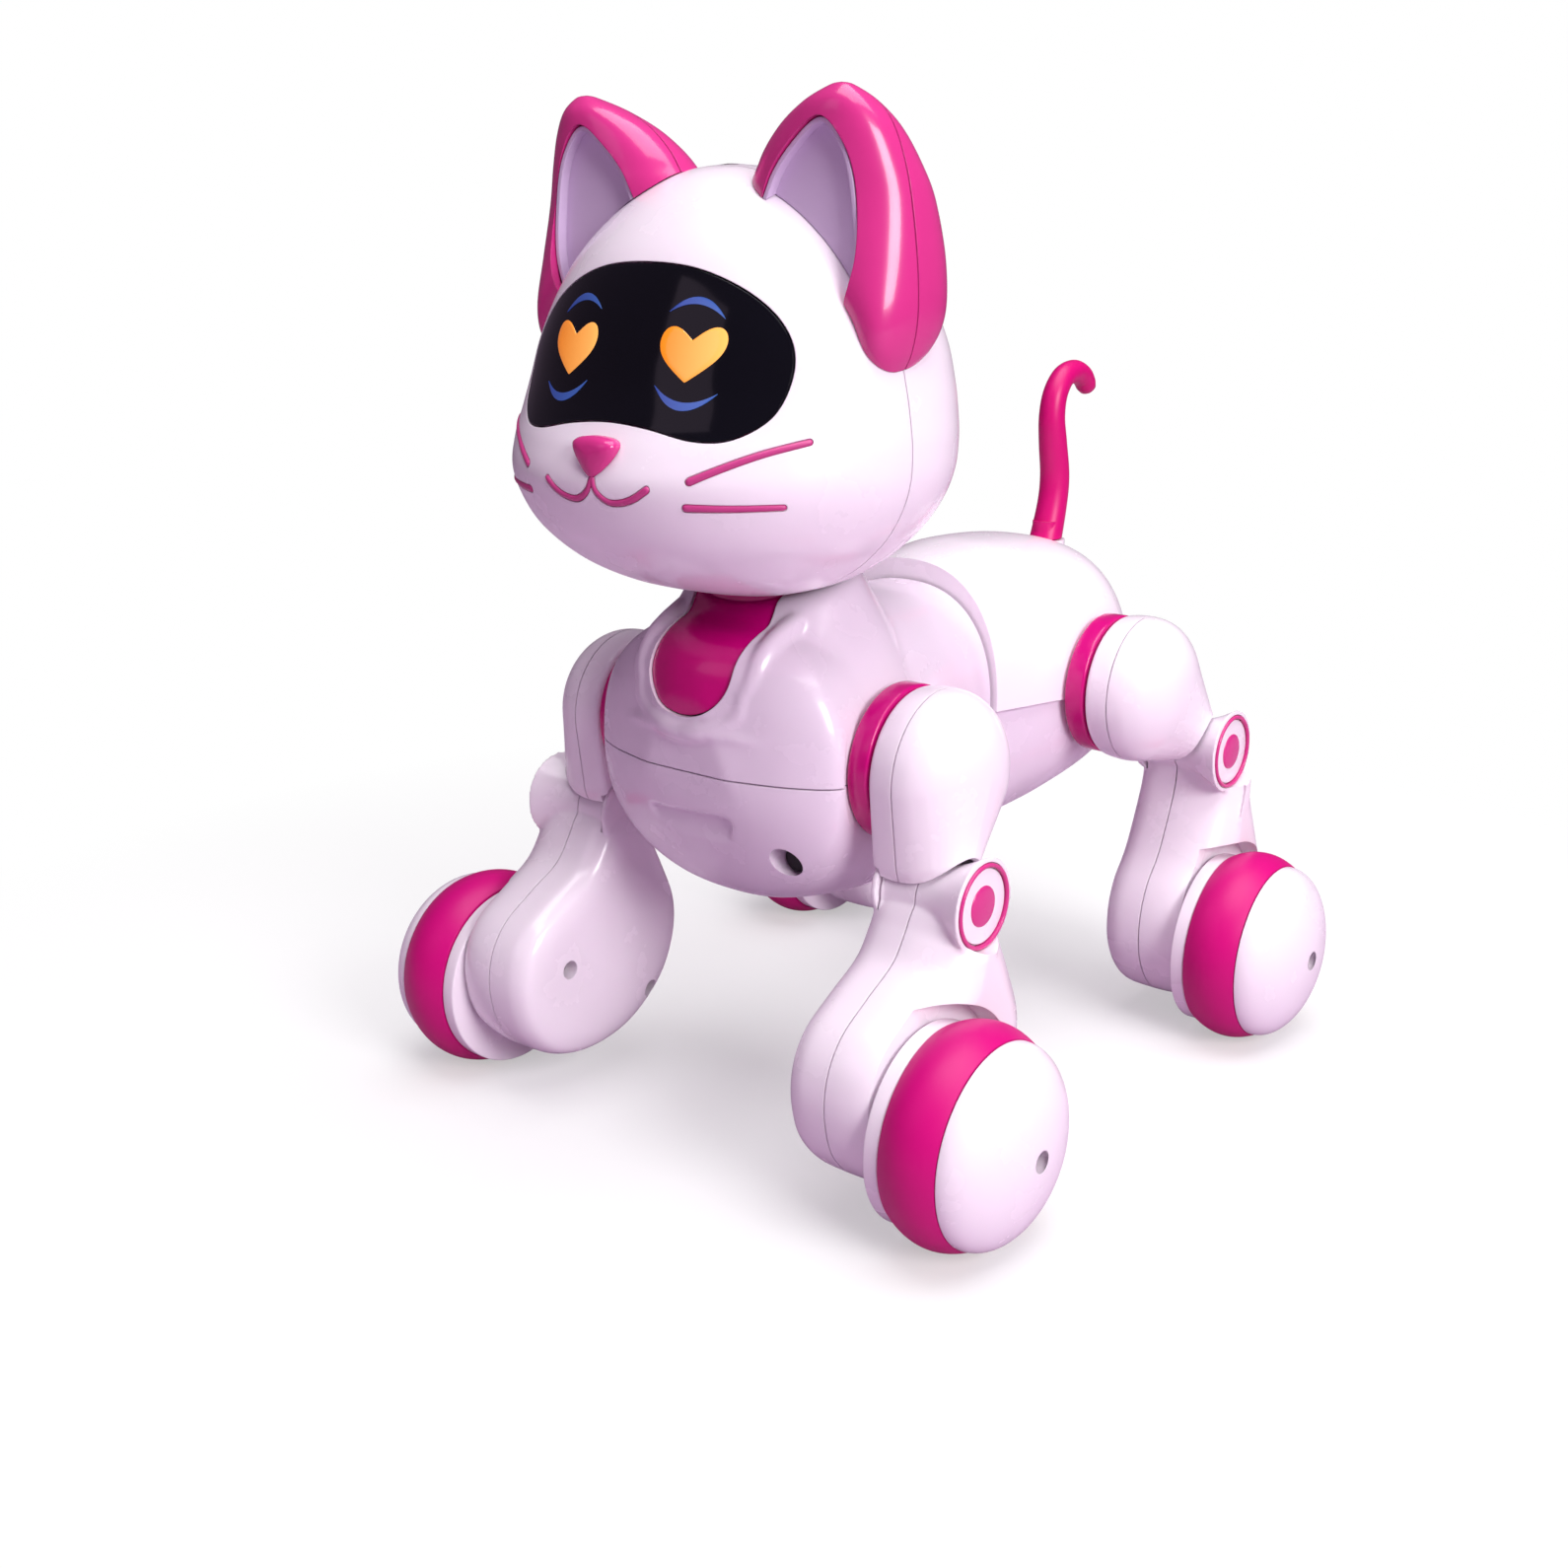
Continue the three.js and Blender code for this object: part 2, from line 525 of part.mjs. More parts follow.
// Rings of a lower leg: its outline drawn in along its own normals.
function legRings(leg, shrink, count, levels = LEG_LEVELS) {
  const curve = new THREE.CatmullRomCurve3(leg.outline.map(([y, z]) => new THREE.Vector3(0, y, z)), true);
  return levels.map(([x, inset]) => turns(count).map((angle) => {
    const u = angle / (2 * Math.PI);
    const point = curve.getPointAt(u);
    const along = curve.getTangentAt(u);
    const draw = inset + shrink;
    return new THREE.Vector3(
      levelDrawnIn(x, LEG_LEVELS, shrink), point.y - along.z * draw, point.z + along.y * draw);
  }));
}

// The knee barrel's profile along x, with extra radius for the clearance cut in the leg above it.
function spoolProfile(extra) {
  const { inner, flangeEnd, outer, waist, flare, flange } = SPOOL;
  const reach = extra > 0 ? 10 : 0;
  const profile = [[inner - reach, 0], [inner - reach, flange + extra], [flangeEnd, flange + extra],
    [flangeEnd, waist + extra]];
  for (const x of [SEAM_X, 63, outer]) {
    profile.push([x, waist + extra + (flare - waist) * ((x - SEAM_X) / (outer - SEAM_X)) ** 2]);
  }
  if (extra > 0) profile.push([outer + reach, flare + extra]);
  profile.push([outer + reach, 0]);
  return profile;
}

function makeLeg(leg, side, group) {
  const holder = new THREE.Group();
  holder.scale.x = side === "left" ? 1 : -1;
  group.add(holder);
  const end = leg.name + "_" + side;
  const { hip } = leg;
  const wheel = [leg.wheelY, WHEEL.radius];
  const inside = (seam) => slab(0, 0, seam - GAP / 2);
  const outside = (seam) => slab(0, seam + GAP / 2, FAR);
  const tongueX = [51, 57];
  const ringBore = HIP.shaft + GAP;

  const { from, to, radius, chamfer } = HIP.ring;
  const ring = turned([[from, ringBore], [from, radius], [to - chamfer, radius], [to, radius - chamfer],
    [to, ringBore]], hip, 20);
  piece("hip_ring_" + end, ring, MAGENTA, holder);

  // The upper leg: two shells, a drive shaft into the body and a tongue down into the knee barrel.
  const saddle = turned(spoolProfile(1.6), leg.knee, 14);
  const podShell = loft(podRings(leg, 0, 16)).subtract(loft(podRings(leg, WALL, 10))).subtract(saddle);
  const pinRadius = 2.2;
  const shaft = bar("x", 15, tongueX[1], hip, HIP.shaft, 12);
  const tongue = strut(tongueX, leg.knee, hip, 6).add(bar("x", ...tongueX, leg.knee, 4.7, 10))
    .subtract(bar("x", 40, 60, leg.knee, pinRadius + GAP, 8));
  const upperInner = podShell.intersect(inside(UPPER_SEAM_X)).add(shaft).add(tongue);
  piece("upper_inner_" + end, upperInner, SHELL, holder);
  piece("upper_outer_" + end, podShell.intersect(outside(UPPER_SEAM_X)), SHELL, holder);

  // The lower leg: two shells with the wheel's arch, its bearing and the knee barrel with a slot in its top.
  const arch = bar("x", ARCH.from, 90, wheel, ARCH.radius, 20);
  const archInside = bar("x", ARCH.from - WALL, 92, wheel, ARCH.radius + WALL, 12);
  const body = loft(legRings(leg, 0, 18)).subtract(arch);
  const hollowLevels = LEG_LEVELS.filter((level, i) => i % 2 === 0);
  const hollow = loft(legRings(leg, WALL, 10, hollowLevels)).subtract(archInside);
  const bearing = bar("x", 44, 53, wheel, 5, 10);
  const barrel = turned(spoolProfile(0), leg.knee, 14);
  const slotX = [tongueX[0] - GAP, tongueX[1] + GAP];
  const cut = bar("x", ...slotX, leg.knee, 5.2, 10).add(kneeSlot(leg, slotX));
  const axleBore = bar("x", 48.4, 75, wheel, 2.9, 10);
  const shin = body.subtract(hollow).add(barrel).add(bearing).subtract(axleBore).subtract(cut);
  let innerShell = shin.intersect(inside(SEAM_X));
  for (const hole of leg.screws) innerShell = innerShell.subtract(bar("x", 40, 49.5, hole, 2.5, 10));
  piece("lower_inner_" + end, innerShell, SHELL, holder);
  const capSeat = bar("x", SPOOL.outer - 1.4, 71.5, leg.knee, 10, 16)
    .add(bar("x", 66, 71, leg.knee, 3.3, 8));
  const pin = bar("x", slotX[0] + 0.2, slotX[1] + 1, leg.knee, pinRadius, 10);
  piece("lower_outer_" + end, shin.intersect(outside(SEAM_X)).subtract(capSeat).add(pin), SHELL, holder);
  const cap = bar("x", SPOOL.outer - 1.1, SPOOL.outer + 0.3, leg.knee, 9.7, 16)
    .add(bar("x", 67, 72, leg.knee, 3, 8));
  piece("knee_cap_" + end, cap, EAR_PINK, holder);

  makeWheel(end, wheel, holder);
}

// A flat bar of even width between two points in y and z.
function strut([from, to], [y0, z0], [y1, z1], width) {
  const length = Math.hypot(y1 - y0, z1 - z0);
  const geometry = new THREE.BoxGeometry(to - from, length, width);
  geometry.rotateX(Math.atan2(z1 - z0, y1 - y0));
  return solidOf(geometry.translate((from + to) / 2, (y0 + y1) / 2, (z0 + z1) / 2));
}

// The room the tongue needs to swing through the top of the knee barrel.
function kneeSlot(leg, slotX) {
  const [y, z] = leg.knee;
  const toHip = Math.atan2(HIP.z - z, leg.hip[0] - y);
  const half = THREE.MathUtils.degToRad(KNEE_SWING + 40);
  const fan = [-1, -0.5, 0, 0.5, 1].map((share) => new THREE.Vector2(
    y + 14 * Math.cos(toHip + share * half), z + 14 * Math.sin(toHip + share * half)));
  return slabAlongX(new THREE.Shape([new THREE.Vector2(y, z), ...fan]), ...slotX);
}

function makeWheel(end, wheel, holder) {
  const { inner, tyreIn, tyreOut, pole, radius } = WHEEL;
  const spigot = 20;
  const hub = [[48.8, 0], [48.8, 2.5], [inner, 2.5], [inner, 24.3], [tyreIn - GAP, 24.3],
    [tyreIn - GAP, spigot], [tyreOut - GAP, spigot], [tyreOut - GAP, 0]];
  piece("wheel_hub_" + end, turned(hub, wheel, 16), SHELL, holder);
  const crown = [0, 0.25, 0.5, 0.75, 1].map((share) => [
    tyreIn + (tyreOut - tyreIn) * share, radius - 2.3 * (2 * share - 1) ** 2]);
  const tyre = [[tyreIn, spigot + GAP], ...crown, [tyreOut, spigot + GAP]];
  piece("wheel_tyre_" + end, turned(tyre, wheel, 20), TYRE, holder);
  const base = tyreOut + GAP;
  const arc = (reach, rim, steps) => Array.from({ length: steps + 1 }, (_, i) => {
    const angle = (i / steps) * 1.47;
    return [base + reach * Math.sin(angle), rim * Math.cos(angle)];
  });
  const dome = [...arc(pole - base, 24.5, 4).reverse(), ...arc(pole - base - WALL, 22.3, 2).slice(0, 2),
    [96, 5.5], [96, 2.5]];
  piece("wheel_dome_" + end, turned(dome, wheel, 16), SHELL, holder);
}

const cat = new THREE.Group();
makeTorso(cat);
makeNeckAndTail(cat);
makeHead(cat);
for (const leg of [FRONT_LEG, REAR_LEG]) for (const side of ["left", "right"]) makeLeg(leg, side, cat);

export default cat;
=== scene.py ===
# A wheeled robot cat in pearl white and magenta plastic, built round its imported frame.
import json
import math

import bmesh
import bpy
import numpy as np
from mathutils import Matrix, Vector


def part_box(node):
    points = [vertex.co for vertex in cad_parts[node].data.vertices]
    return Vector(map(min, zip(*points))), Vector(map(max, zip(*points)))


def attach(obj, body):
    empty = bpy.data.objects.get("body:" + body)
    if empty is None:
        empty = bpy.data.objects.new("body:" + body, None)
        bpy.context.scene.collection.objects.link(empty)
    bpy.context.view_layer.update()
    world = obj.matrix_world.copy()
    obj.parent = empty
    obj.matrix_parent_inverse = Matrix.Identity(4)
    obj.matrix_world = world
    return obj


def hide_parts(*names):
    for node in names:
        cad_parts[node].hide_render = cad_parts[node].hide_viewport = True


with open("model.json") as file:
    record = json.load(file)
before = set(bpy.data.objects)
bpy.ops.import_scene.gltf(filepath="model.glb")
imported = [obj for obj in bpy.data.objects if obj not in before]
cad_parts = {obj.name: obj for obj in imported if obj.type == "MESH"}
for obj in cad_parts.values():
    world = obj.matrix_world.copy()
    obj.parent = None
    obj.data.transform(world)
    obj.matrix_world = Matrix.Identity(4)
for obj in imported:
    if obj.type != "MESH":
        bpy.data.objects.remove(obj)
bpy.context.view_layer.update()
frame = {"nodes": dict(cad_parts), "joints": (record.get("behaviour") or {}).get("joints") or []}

JOINTS = {joint["name"]: joint for joint in frame["joints"]}
MM = 0.001

# ---- driving dimensions, in millimetres ----
GAP = 0.35  # the dark line where two shells meet
WAIST_GAP = 0.7  # the chest cover stops this far short of the back cover
WALL = 2.2
SEAM_Z = 100
WAIST_Y = 14
HEAD_SEAM_Y = -62
UPPER_SEAM_X = 51
LOWER_SEAM_X = 55.5
HIP_FACE_X = 37.2
HIP_SEAT = 21
FAR = 300

# Torso stations from nose to tail: y, half width, top, bottom.
TORSO = [
    (-79.6, 0.5, 117.5, 116.5),
    (-79, 8, 121, 112),
    (-77, 16, 127, 93),
    (-73, 28.6, 131, 81),
    (-67, 37.8, 134, 70),
    (-60, 38, 136, 64.3),
    (-44, 38, 137.3, 60),
    (-26, 36.5, 137.3, 57.5),
    (-4, 31, 134.5, 56.5),
    (14, 28, 133, 57),
    (30, 33, 134, 61),
    (44, 37.5, 135, 64),
    (66, 37.5, 134, 68),
    (80, 31, 130, 73),
    (90, 20, 123, 81),
    (94, 9, 113, 92),
    (94.8, 0.5, 103, 102),
]
# The back cover stands proud of that body.
BACK = [
    (8, 28.5, 138, 90),
    (14, 29.5, 138.5, 90),
    (30, 34.6, 140, 90),
    (44, 38.4, 140.5, 90),
    (66, 38.6, 138.8, 90),
    (80, 32.5, 134.8, 90),
    (91, 22, 127.5, 91),
    (95.5, 11, 117, 94),
    (96.6, 0.5, 107, 106),
]
# Head levels from chin to crown: z, half width, front, back.
HEAD = [
    (143, 19, -72, -45),
    (146, 29, -83, -39),
    (151, 38.5, -93, -33),
    (158, 46.5, -101, -25.5),
    (165, 51.2, -105, -19.5),
    (172, 53.6, -106.5, -16),
    (179, 54, -104, -14.5),
    (185, 53.4, -100.6, -14),
    (192, 52.2, -97.3, -14),
    (201, 49.8, -94.3, -15),
    (211, 45, -90.5, -18),
    (220, 38.5, -86, -23),
    (228, 30, -79.5, -29),
    (234, 20.5, -72.5, -36),
    (238, 10, -65, -46),
    (239.2, 0.5, -56.5, -55.5),
]
HEAD_MID_Y = -59
# Left ear levels: z, inner edge, outer edge, front, back.
EAR = [
    (193.6, 48, 48.6, -64.5, -63.5),
    (195, 46, 50.6, -67, -60),
    (200, 44.2, 53.3, -71.5, -51),
    (208, 39.5, 54.8, -72.8, -45.5),
    (219, 25, 54.6, -72.8, -43),
    (231, 10.5, 53, -72.5, -44),
    (239, 13, 50.8, -72.2, -48),
    (246, 19.5, 47.8, -71.8, -53),
    (251, 27.5, 44, -71, -58.5),
    (254, 34.5, 40, -68.5, -64),
    (254.6, 37, 37.6, -66.6, -66),
]
# The collar that sweeps up from the chest to the head: height, half width, half length.
COLLAR = [
    (110, 40, 38),
    (119, 35.5, 31),
    (127, 30.5, 26),
    (133, 26.3, 22.5),
    (137, 23.6, 20),
    (139.6, 21.8, 18.6),
]
COLLAR_Y = -43.5
COLLAR_FRONT_Y = -61  # behind here the collar's rim climbs
COLLAR_CLIMB = 7.4
COLLAR_CURVE = 0.062  # how soon the rim reaches that climb
LINING_SHARE = 0.88  # the hollow in the collar against the collar itself

NECK_Y = -47
NOD_PIN = (NECK_Y, 160)  # y and z
NECK_HOLE = {"radius": 26, "top": 150.5}  # the round opening under the head
LUG_STARTS = (-16.6, 13.6)  # the two cheeks that hold the nod pin, along x
LUG_WIDTH = 3
TAIL_PLACE = (0, 85)
HIP_BORE = 6.2

# Outlines in x and z.
VISOR = [
    (0, 218.4), (13, 217.4), (24, 213.9), (32.5, 208.6), (37.6, 202), (38.9, 195), (37, 187.2),
    (31, 182.7), (23, 182), (11, 184), (0, 184.8),
]
BIB = [(0, 114), (7.5, 116), (12.2, 121.5), (13, 130), (13, 152)]
BIB_PROUD = 0.9
BIB_PLUG = {"radius": 17.5, "bore": 8.2, "low": 128, "high": 144}
POCKET = [(-12, 79.5), (9.5, 79.5), (12.5, 90), (-15.5, 88.6)]
CHEST_SCREW = (24.3, 79.8)
EAR_PANEL = [
    (35.2, 248), (41.5, 242), (44.4, 232), (45, 217), (39, 206), (28, 212), (19, 226), (20.5, 235),
    (27, 243),
]
NOSE = [(5.9, 181.2), (4.9, 177.2), (0, 172.6), (-4.9, 177.2), (-5.9, 181.2), (0, 182.4)]
NOSE_MIDDLE = (0, 178.4)
# The nose from its root to its tip: y, and its share of the full outline there.
NOSE_LEVELS = [(-99, 0.8), (-103.4, 0.99), (-105, 1.0), (-106, 0.93), (-106.7, 0.78), (-107.1, 0.5),
               (-107.3, 0.05)]
# Lines on one side of the face: kind, radius, its share at the far end, and the way it runs.
FACE_LINES = [
    ("whisker", 0.75, 0.75, [(24.4, 174.2), (30, 176.9), (37, 180), (44, 182.4)]),
    ("whisker", 0.75, 0.75, [(23.6, 168.5), (32, 168.6), (41, 168.9)]),
    ("mouth", 0.55, 1.25, [(0, 174.2), (1.2, 170.8), (4.4, 168.6), (8, 168.6), (11.6, 169.8), (15, 172)]),
]
EYE = {"x": 17.4, "z": 199.6, "half_width": 7.9, "half_height": 5.7}
EYE_BROW = ((10.2, 208.2), (16.6, 210.6), (23.6, 207))
EYE_UNDER = ((10.2, 193), (18, 189), (25.4, 191.8))
PLATE = {"proud": 0.12, "thick": 0.5}  # the lit shapes stand this far out of the visor

# The tail's middle line from its root to its tip: y, z, radius.
TAIL = [
    (84, 130, 5),
    (88.4, 144, 4.5),
    (89.4, 153, 4.4),
    (87.6, 163, 4.2),
    (86.5, 170.5, 3.9),
    (87.8, 177, 3.7),
    (92, 181.8, 3.5),
    (98, 183.2, 3.4),
    (103, 181.6, 3.3),
    (105.6, 179, 3.1),
]

# Upper leg: where it is along x, and its share of the full outline there.
POD_LEVELS = [(43.6, 0.9), (44.3, 0.955), (46, 0.985), (51, 1), (55.5, 0.955), (59.5, 0.82), (62.8, 0.59),
              (64.6, 0.32), (65.2, 0.02)]
# Lower leg: where it is along x, and how far its outline is drawn in there.
LEG_LEVELS = [(42.3, 9), (42.6, 5.5), (44, 2.2), (47, 0.5), (51, 0), (60, 0), (66, 1.2), (70.2, 4.1),
              (73, 8.2), (73.8, 11)]
SPOOL = {"inner": 43.8, "outer": 70, "waist": 7.3, "flare": 12, "flange": 9.2}
PODS = {
    "front": [(-44, 101.5, 20.3), (-50.5, 84, 11.5)],
    "rear": [(55.2, 101.8, 20.3), (69.3, 90, 11.6)],
}
LEG_OUTLINE = {
    "front": [(-60.7, 73), (-64.2, 67.6), (-69, 61.5), (-79, 56), (-88.5, 50), (-93.6, 42), (-94.5, 32),
              (-91, 21), (-82, 12.5), (-69, 9.3), (-54, 11.7), (-41, 20.5), (-34.5, 32), (-33.5, 44),
              (-38, 56), (-43.5, 67), (-48, 74), (-54, 77)],
    "rear": [(71.6, 79.8), (70.2, 71), (66.8, 62), (62, 52), (56, 44), (53, 35), (53.5, 24.5), (58.5, 15),
             (66, 9), (77, 8), (89, 11.5), (98, 20), (102.5, 32), (102, 43), (97, 55), (92, 66), (87, 77),
             (79, 85)],
}
LEG_SCREWS = {"front": [(-78, 37), (-47, 21)], "rear": [(62, 22), (92, 40)]}
ARCH = {"from": 66.7, "radius": 28.9}  # the shin's hollow side, which the wheel turns in
KNEE_SLOT = (50.7, 57.3)
TONGUE = (51.2, 56.8)  # what runs in that slot, along x
KNEE_FAN = {"reach": 14, "half_angle": 58}


# ---- shapes ----
def linked(name, data):
    """A new object in the scene."""
    obj = bpy.data.objects.new(name, data)
    bpy.context.scene.collection.objects.link(obj)
    return obj


def mesh_object(name, points, faces):
    """A mesh from points in millimetres, with its faces turned outwards."""
    mesh = bpy.data.meshes.new(name)
    mesh.from_pydata([tuple(p) for p in np.asarray(points, float) * MM], [], faces)
    work = bmesh.new()
    work.from_mesh(mesh)
    bmesh.ops.recalc_face_normals(work, faces=work.faces)
    work.to_mesh(mesh)
    work.free()
    return linked(name, mesh)


def spline(rows, steps, closed=False):
    """Points on a smooth curve through every row."""
    rows = np.asarray(rows, float)
    count = len(rows)
    out = []
    for i in range(count if closed else count - 1):
        if closed:
            a, b, c, d = (rows[(i + k) % count] for k in (-1, 0, 1, 2))
        else:
            a, b, c, d = rows[max(i - 1, 0)], rows[i], rows[i + 1], rows[min(i + 2, count - 1)]
        for t in np.arange(steps) / steps:
            out.append(0.5 * (2 * b + (c - a) * t + (2 * a - 5 * b + 4 * c - d) * t ** 2
                              + (3 * b - a - 3 * c + d) * t ** 3))
    if not closed:
        out.append(rows[-1])
    return np.array(out)


def turns(count):
    return np.arange(count) * 2 * math.pi / count


def power(value, exponent):
    return np.sign(value) * np.abs(value) ** exponent


def faces_between(levels, count, wrap=False):
    """Four-sided faces from each ring of points to the next, and back to the first if they wrap."""
    faces = []
    for level in range(levels if wrap else levels - 1):
        low, high = level * count, (level + 1) % levels * count
        for i in range(count):
            j = (i + 1) % count
            faces.append((low + i, low + j, high + j, high + i))
    return faces


def loft(name, rings):
    """A closed skin over rings that all have the same number of points."""
    rings = np.asarray(rings, float)
    levels, count, _ = rings.shape
    points = rings.reshape(-1, 3)
    faces = faces_between(levels, count)
    points = np.vstack([points, rings[0].mean(0), rings[-1].mean(0)])
    for start, middle in ((0, levels * count), ((levels - 1) * count, levels * count + 1)):
        faces += [(middle, start + i, start + (i + 1) % count) for i in range(count)]
    return mesh_object(name, points, faces)


def drawn_in(rings, distance):
    """The same rings scaled so that every side moves in by one distance, or out if it is negative."""
    rings = np.asarray(rings, float)
    low, high = rings.min((0, 1)), rings.max((0, 1))
    centre, half = (low + high) / 2, (high - low) / 2
    return centre + (rings - centre) * (half - distance) / half


def turned(name, profile, centre, segments=96):
    """A solid of revolution about a line along x; the profile holds (x, radius) pairs."""
    profile = [(x, max(radius, 0.01)) for x, radius in profile]
    y, z = centre
    angles = turns(segments)
    points = [(x, y + r * math.cos(a), z + r * math.sin(a)) for x, r in profile for a in angles]
    return mesh_object(name, points, faces_between(len(profile), segments, wrap=True))


def rounded(profile, radius, steps=5):
    """A closed profile whose corners are all rounded by about one radius."""
    corners = np.asarray(profile, float)
    out = []
    for i, corner in enumerate(corners):
        before, after = corners[i - 1] - corner, corners[(i + 1) % len(corners)] - corner
        reach = min(radius, np.linalg.norm(before) * 0.45, np.linalg.norm(after) * 0.45)
        start = corner + before / np.linalg.norm(before) * reach
        end = corner + after / np.linalg.norm(after) * reach
        for t in np.linspace(0, 1, steps):
            out.append(tuple((1 - t) ** 2 * start + 2 * t * (1 - t) * corner + t ** 2 * end))
    return out


def box(low, high):
    x0, y0, z0 = low
    x1, y1, z1 = high
    points = [(x, y, z) for x in (x0, x1) for y in (y0, y1) for z in (z0, z1)]
    faces = [(0, 1, 3, 2), (4, 6, 7, 5), (0, 4, 5, 1), (2, 3, 7, 6), (0, 2, 6, 4), (1, 5, 7, 3)]
    return mesh_object("tool", points, faces)


AXES = {"x": (1, 2, 0), "y": (0, 2, 1), "z": (0, 1, 2)}


def prism(outline, axis, start, end):
    """A flat outline pushed along an axis; the outline is in the other two axes, in order."""
    u, v, w = AXES[axis]
    points = np.zeros((2 * len(outline), 3))
    for k, station in enumerate((start, end)):
        part = slice(k * len(outline), (k + 1) * len(outline))
        points[part, u] = [p[0] for p in outline]
        points[part, v] = [p[1] for p in outline]
        points[part, w] = station
    count = len(outline)
    faces = [(i, (i + 1) % count, count + (i + 1) % count, count + i) for i in range(count)]
    faces += [tuple(range(count)), tuple(range(count, 2 * count))]
    return mesh_object("tool", points, faces)


def bar(axis, start, end, centre, radius, segments=48):
    """A round bar along an axis; its centre is in the other two axes."""
    u, v = centre
    outline = [(u + radius * math.cos(a), v + radius * math.sin(a)) for a in turns(segments)]
    return prism(outline, axis, start, end)


def tube(name, path, radii, segments=16):
    """A round bar of changing radius along a smooth path, with rounded ends."""
    path = np.asarray(path, float)
    tangents = np.gradient(path, axis=0)
    tangents /= np.linalg.norm(tangents, axis=1)[:, None]

    def beyond(end, outwards, share):
        """A smaller ring past one end of the path."""
        step = outwards * tangents[end] * radii[end] * math.sqrt(1 - share * share)
        return path[end] + step, tangents[end], radii[end] * share

    caps = [math.sin(a) for a in (0.02, 0.5, 1.0)]
    stations = [beyond(0, -1, share) for share in caps]
    stations += list(zip(path, tangents, radii))
    stations += [beyond(-1, 1, share) for share in reversed(caps)]
    side = np.cross(tangents[0], (0.3, 1, 0.2))
    rings = []
    for centre, along, radius in stations:
        side = side - along * (side @ along)
        side /= np.linalg.norm(side)
        up = np.cross(along, side)
        rings.append([centre + radius * (math.cos(a) * side + math.sin(a) * up) for a in turns(segments)])
    return loft(name, rings)


# ---- mesh work ----
def settle(obj):
    """Applies the modifiers on an object."""
    graph = bpy.context.evaluated_depsgraph_get()
    mesh = bpy.data.meshes.new_from_object(obj.evaluated_get(graph))
    obj.modifiers.clear()
    old = obj.data
    obj.data = mesh
    bpy.data.meshes.remove(old)
    return obj


def combine(obj, operation, *tools, keep=False):
    """Joins, cuts or intersects an object with tools, which are used up unless they are kept."""
    for tool in tools:
        modifier = obj.modifiers.new(operation, "BOOLEAN")
        modifier.operation = operation
        modifier.solver = "MANIFOLD"
        modifier.object = tool
        settle(obj)
        if not keep:
            remove(tool)
    return obj


def remove(obj):
    mesh = obj.data
    bpy.data.objects.remove(obj)
    bpy.data.meshes.remove(mesh)


def copy(obj, name):
    twin = obj.copy()
    twin.data = obj.data.copy()
    twin.name = name
    bpy.context.scene.collection.objects.link(twin)
    return twin


def mirrored(obj, name):
    """The same piece on the other side of the toy."""
    twin = copy(obj, name)
    work = bmesh.new()
    work.from_mesh(twin.data)
    bmesh.ops.scale(work, vec=(-1, 1, 1), verts=work.verts)
    bmesh.ops.reverse_faces(work, faces=work.faces)
    work.to_mesh(twin.data)
    work.free()
    return twin


def fused(obj, voxel, smoothing):
    """One skin over joined solids, with soft fillets where they meet."""
    modifier = obj.modifiers.new("skin", "REMESH")
    modifier.mode = "VOXEL"
    modifier.voxel_size = voxel * MM
    modifier.adaptivity = 0
    soften = obj.modifiers.new("soften", "SMOOTH")
    soften.factor = 0.5
    soften.iterations = smoothing
    return settle(obj)


def part_between(obj, name, x=(-FAR, FAR), y=(-FAR, FAR), z=(-FAR, FAR)):
    """The part of a solid between the given limits, as a new object."""
    low, high = zip(x, y, z)
    return combine(copy(obj, name), "INTERSECT", box(low, high))


# ---- materials ----
def blank_material(name):
    """A new material, its nodes, its links and its shader."""
    made = bpy.data.materials.new(name)
    made.use_nodes = True
    nodes = made.node_tree.nodes
    return made, nodes, made.node_tree.links, nodes["Principled BSDF"]


def set_inputs(node, values):
    for name, value in values.items():
        node.inputs[name].default_value = value


def colour_mix(nodes, colours):
    """A node that runs from one colour to another; either may be linked instead."""
    mix = nodes.new("ShaderNodeMix")
    mix.data_type = "RGBA"
    set_inputs(mix, {name: (*colour, 1) for name, colour in colours.items()})
    return mix


CLOUD_SCALE = 22
WEAR_SCALE = 160
GLOSS_SCALE = 70
WEAR_SPAN = (0.58, 0.68)  # how sharp an edge is where its wear starts, and where it is full
WEAR_LIMIT = 0.4
COAT_ROUGHNESS = 0.06
SCATTER = {"radius": (1, 0.55, 0.8), "scale": 0.003}
SOFT_EDGE = 0.35
GRAIN_HEIGHT = 0.1


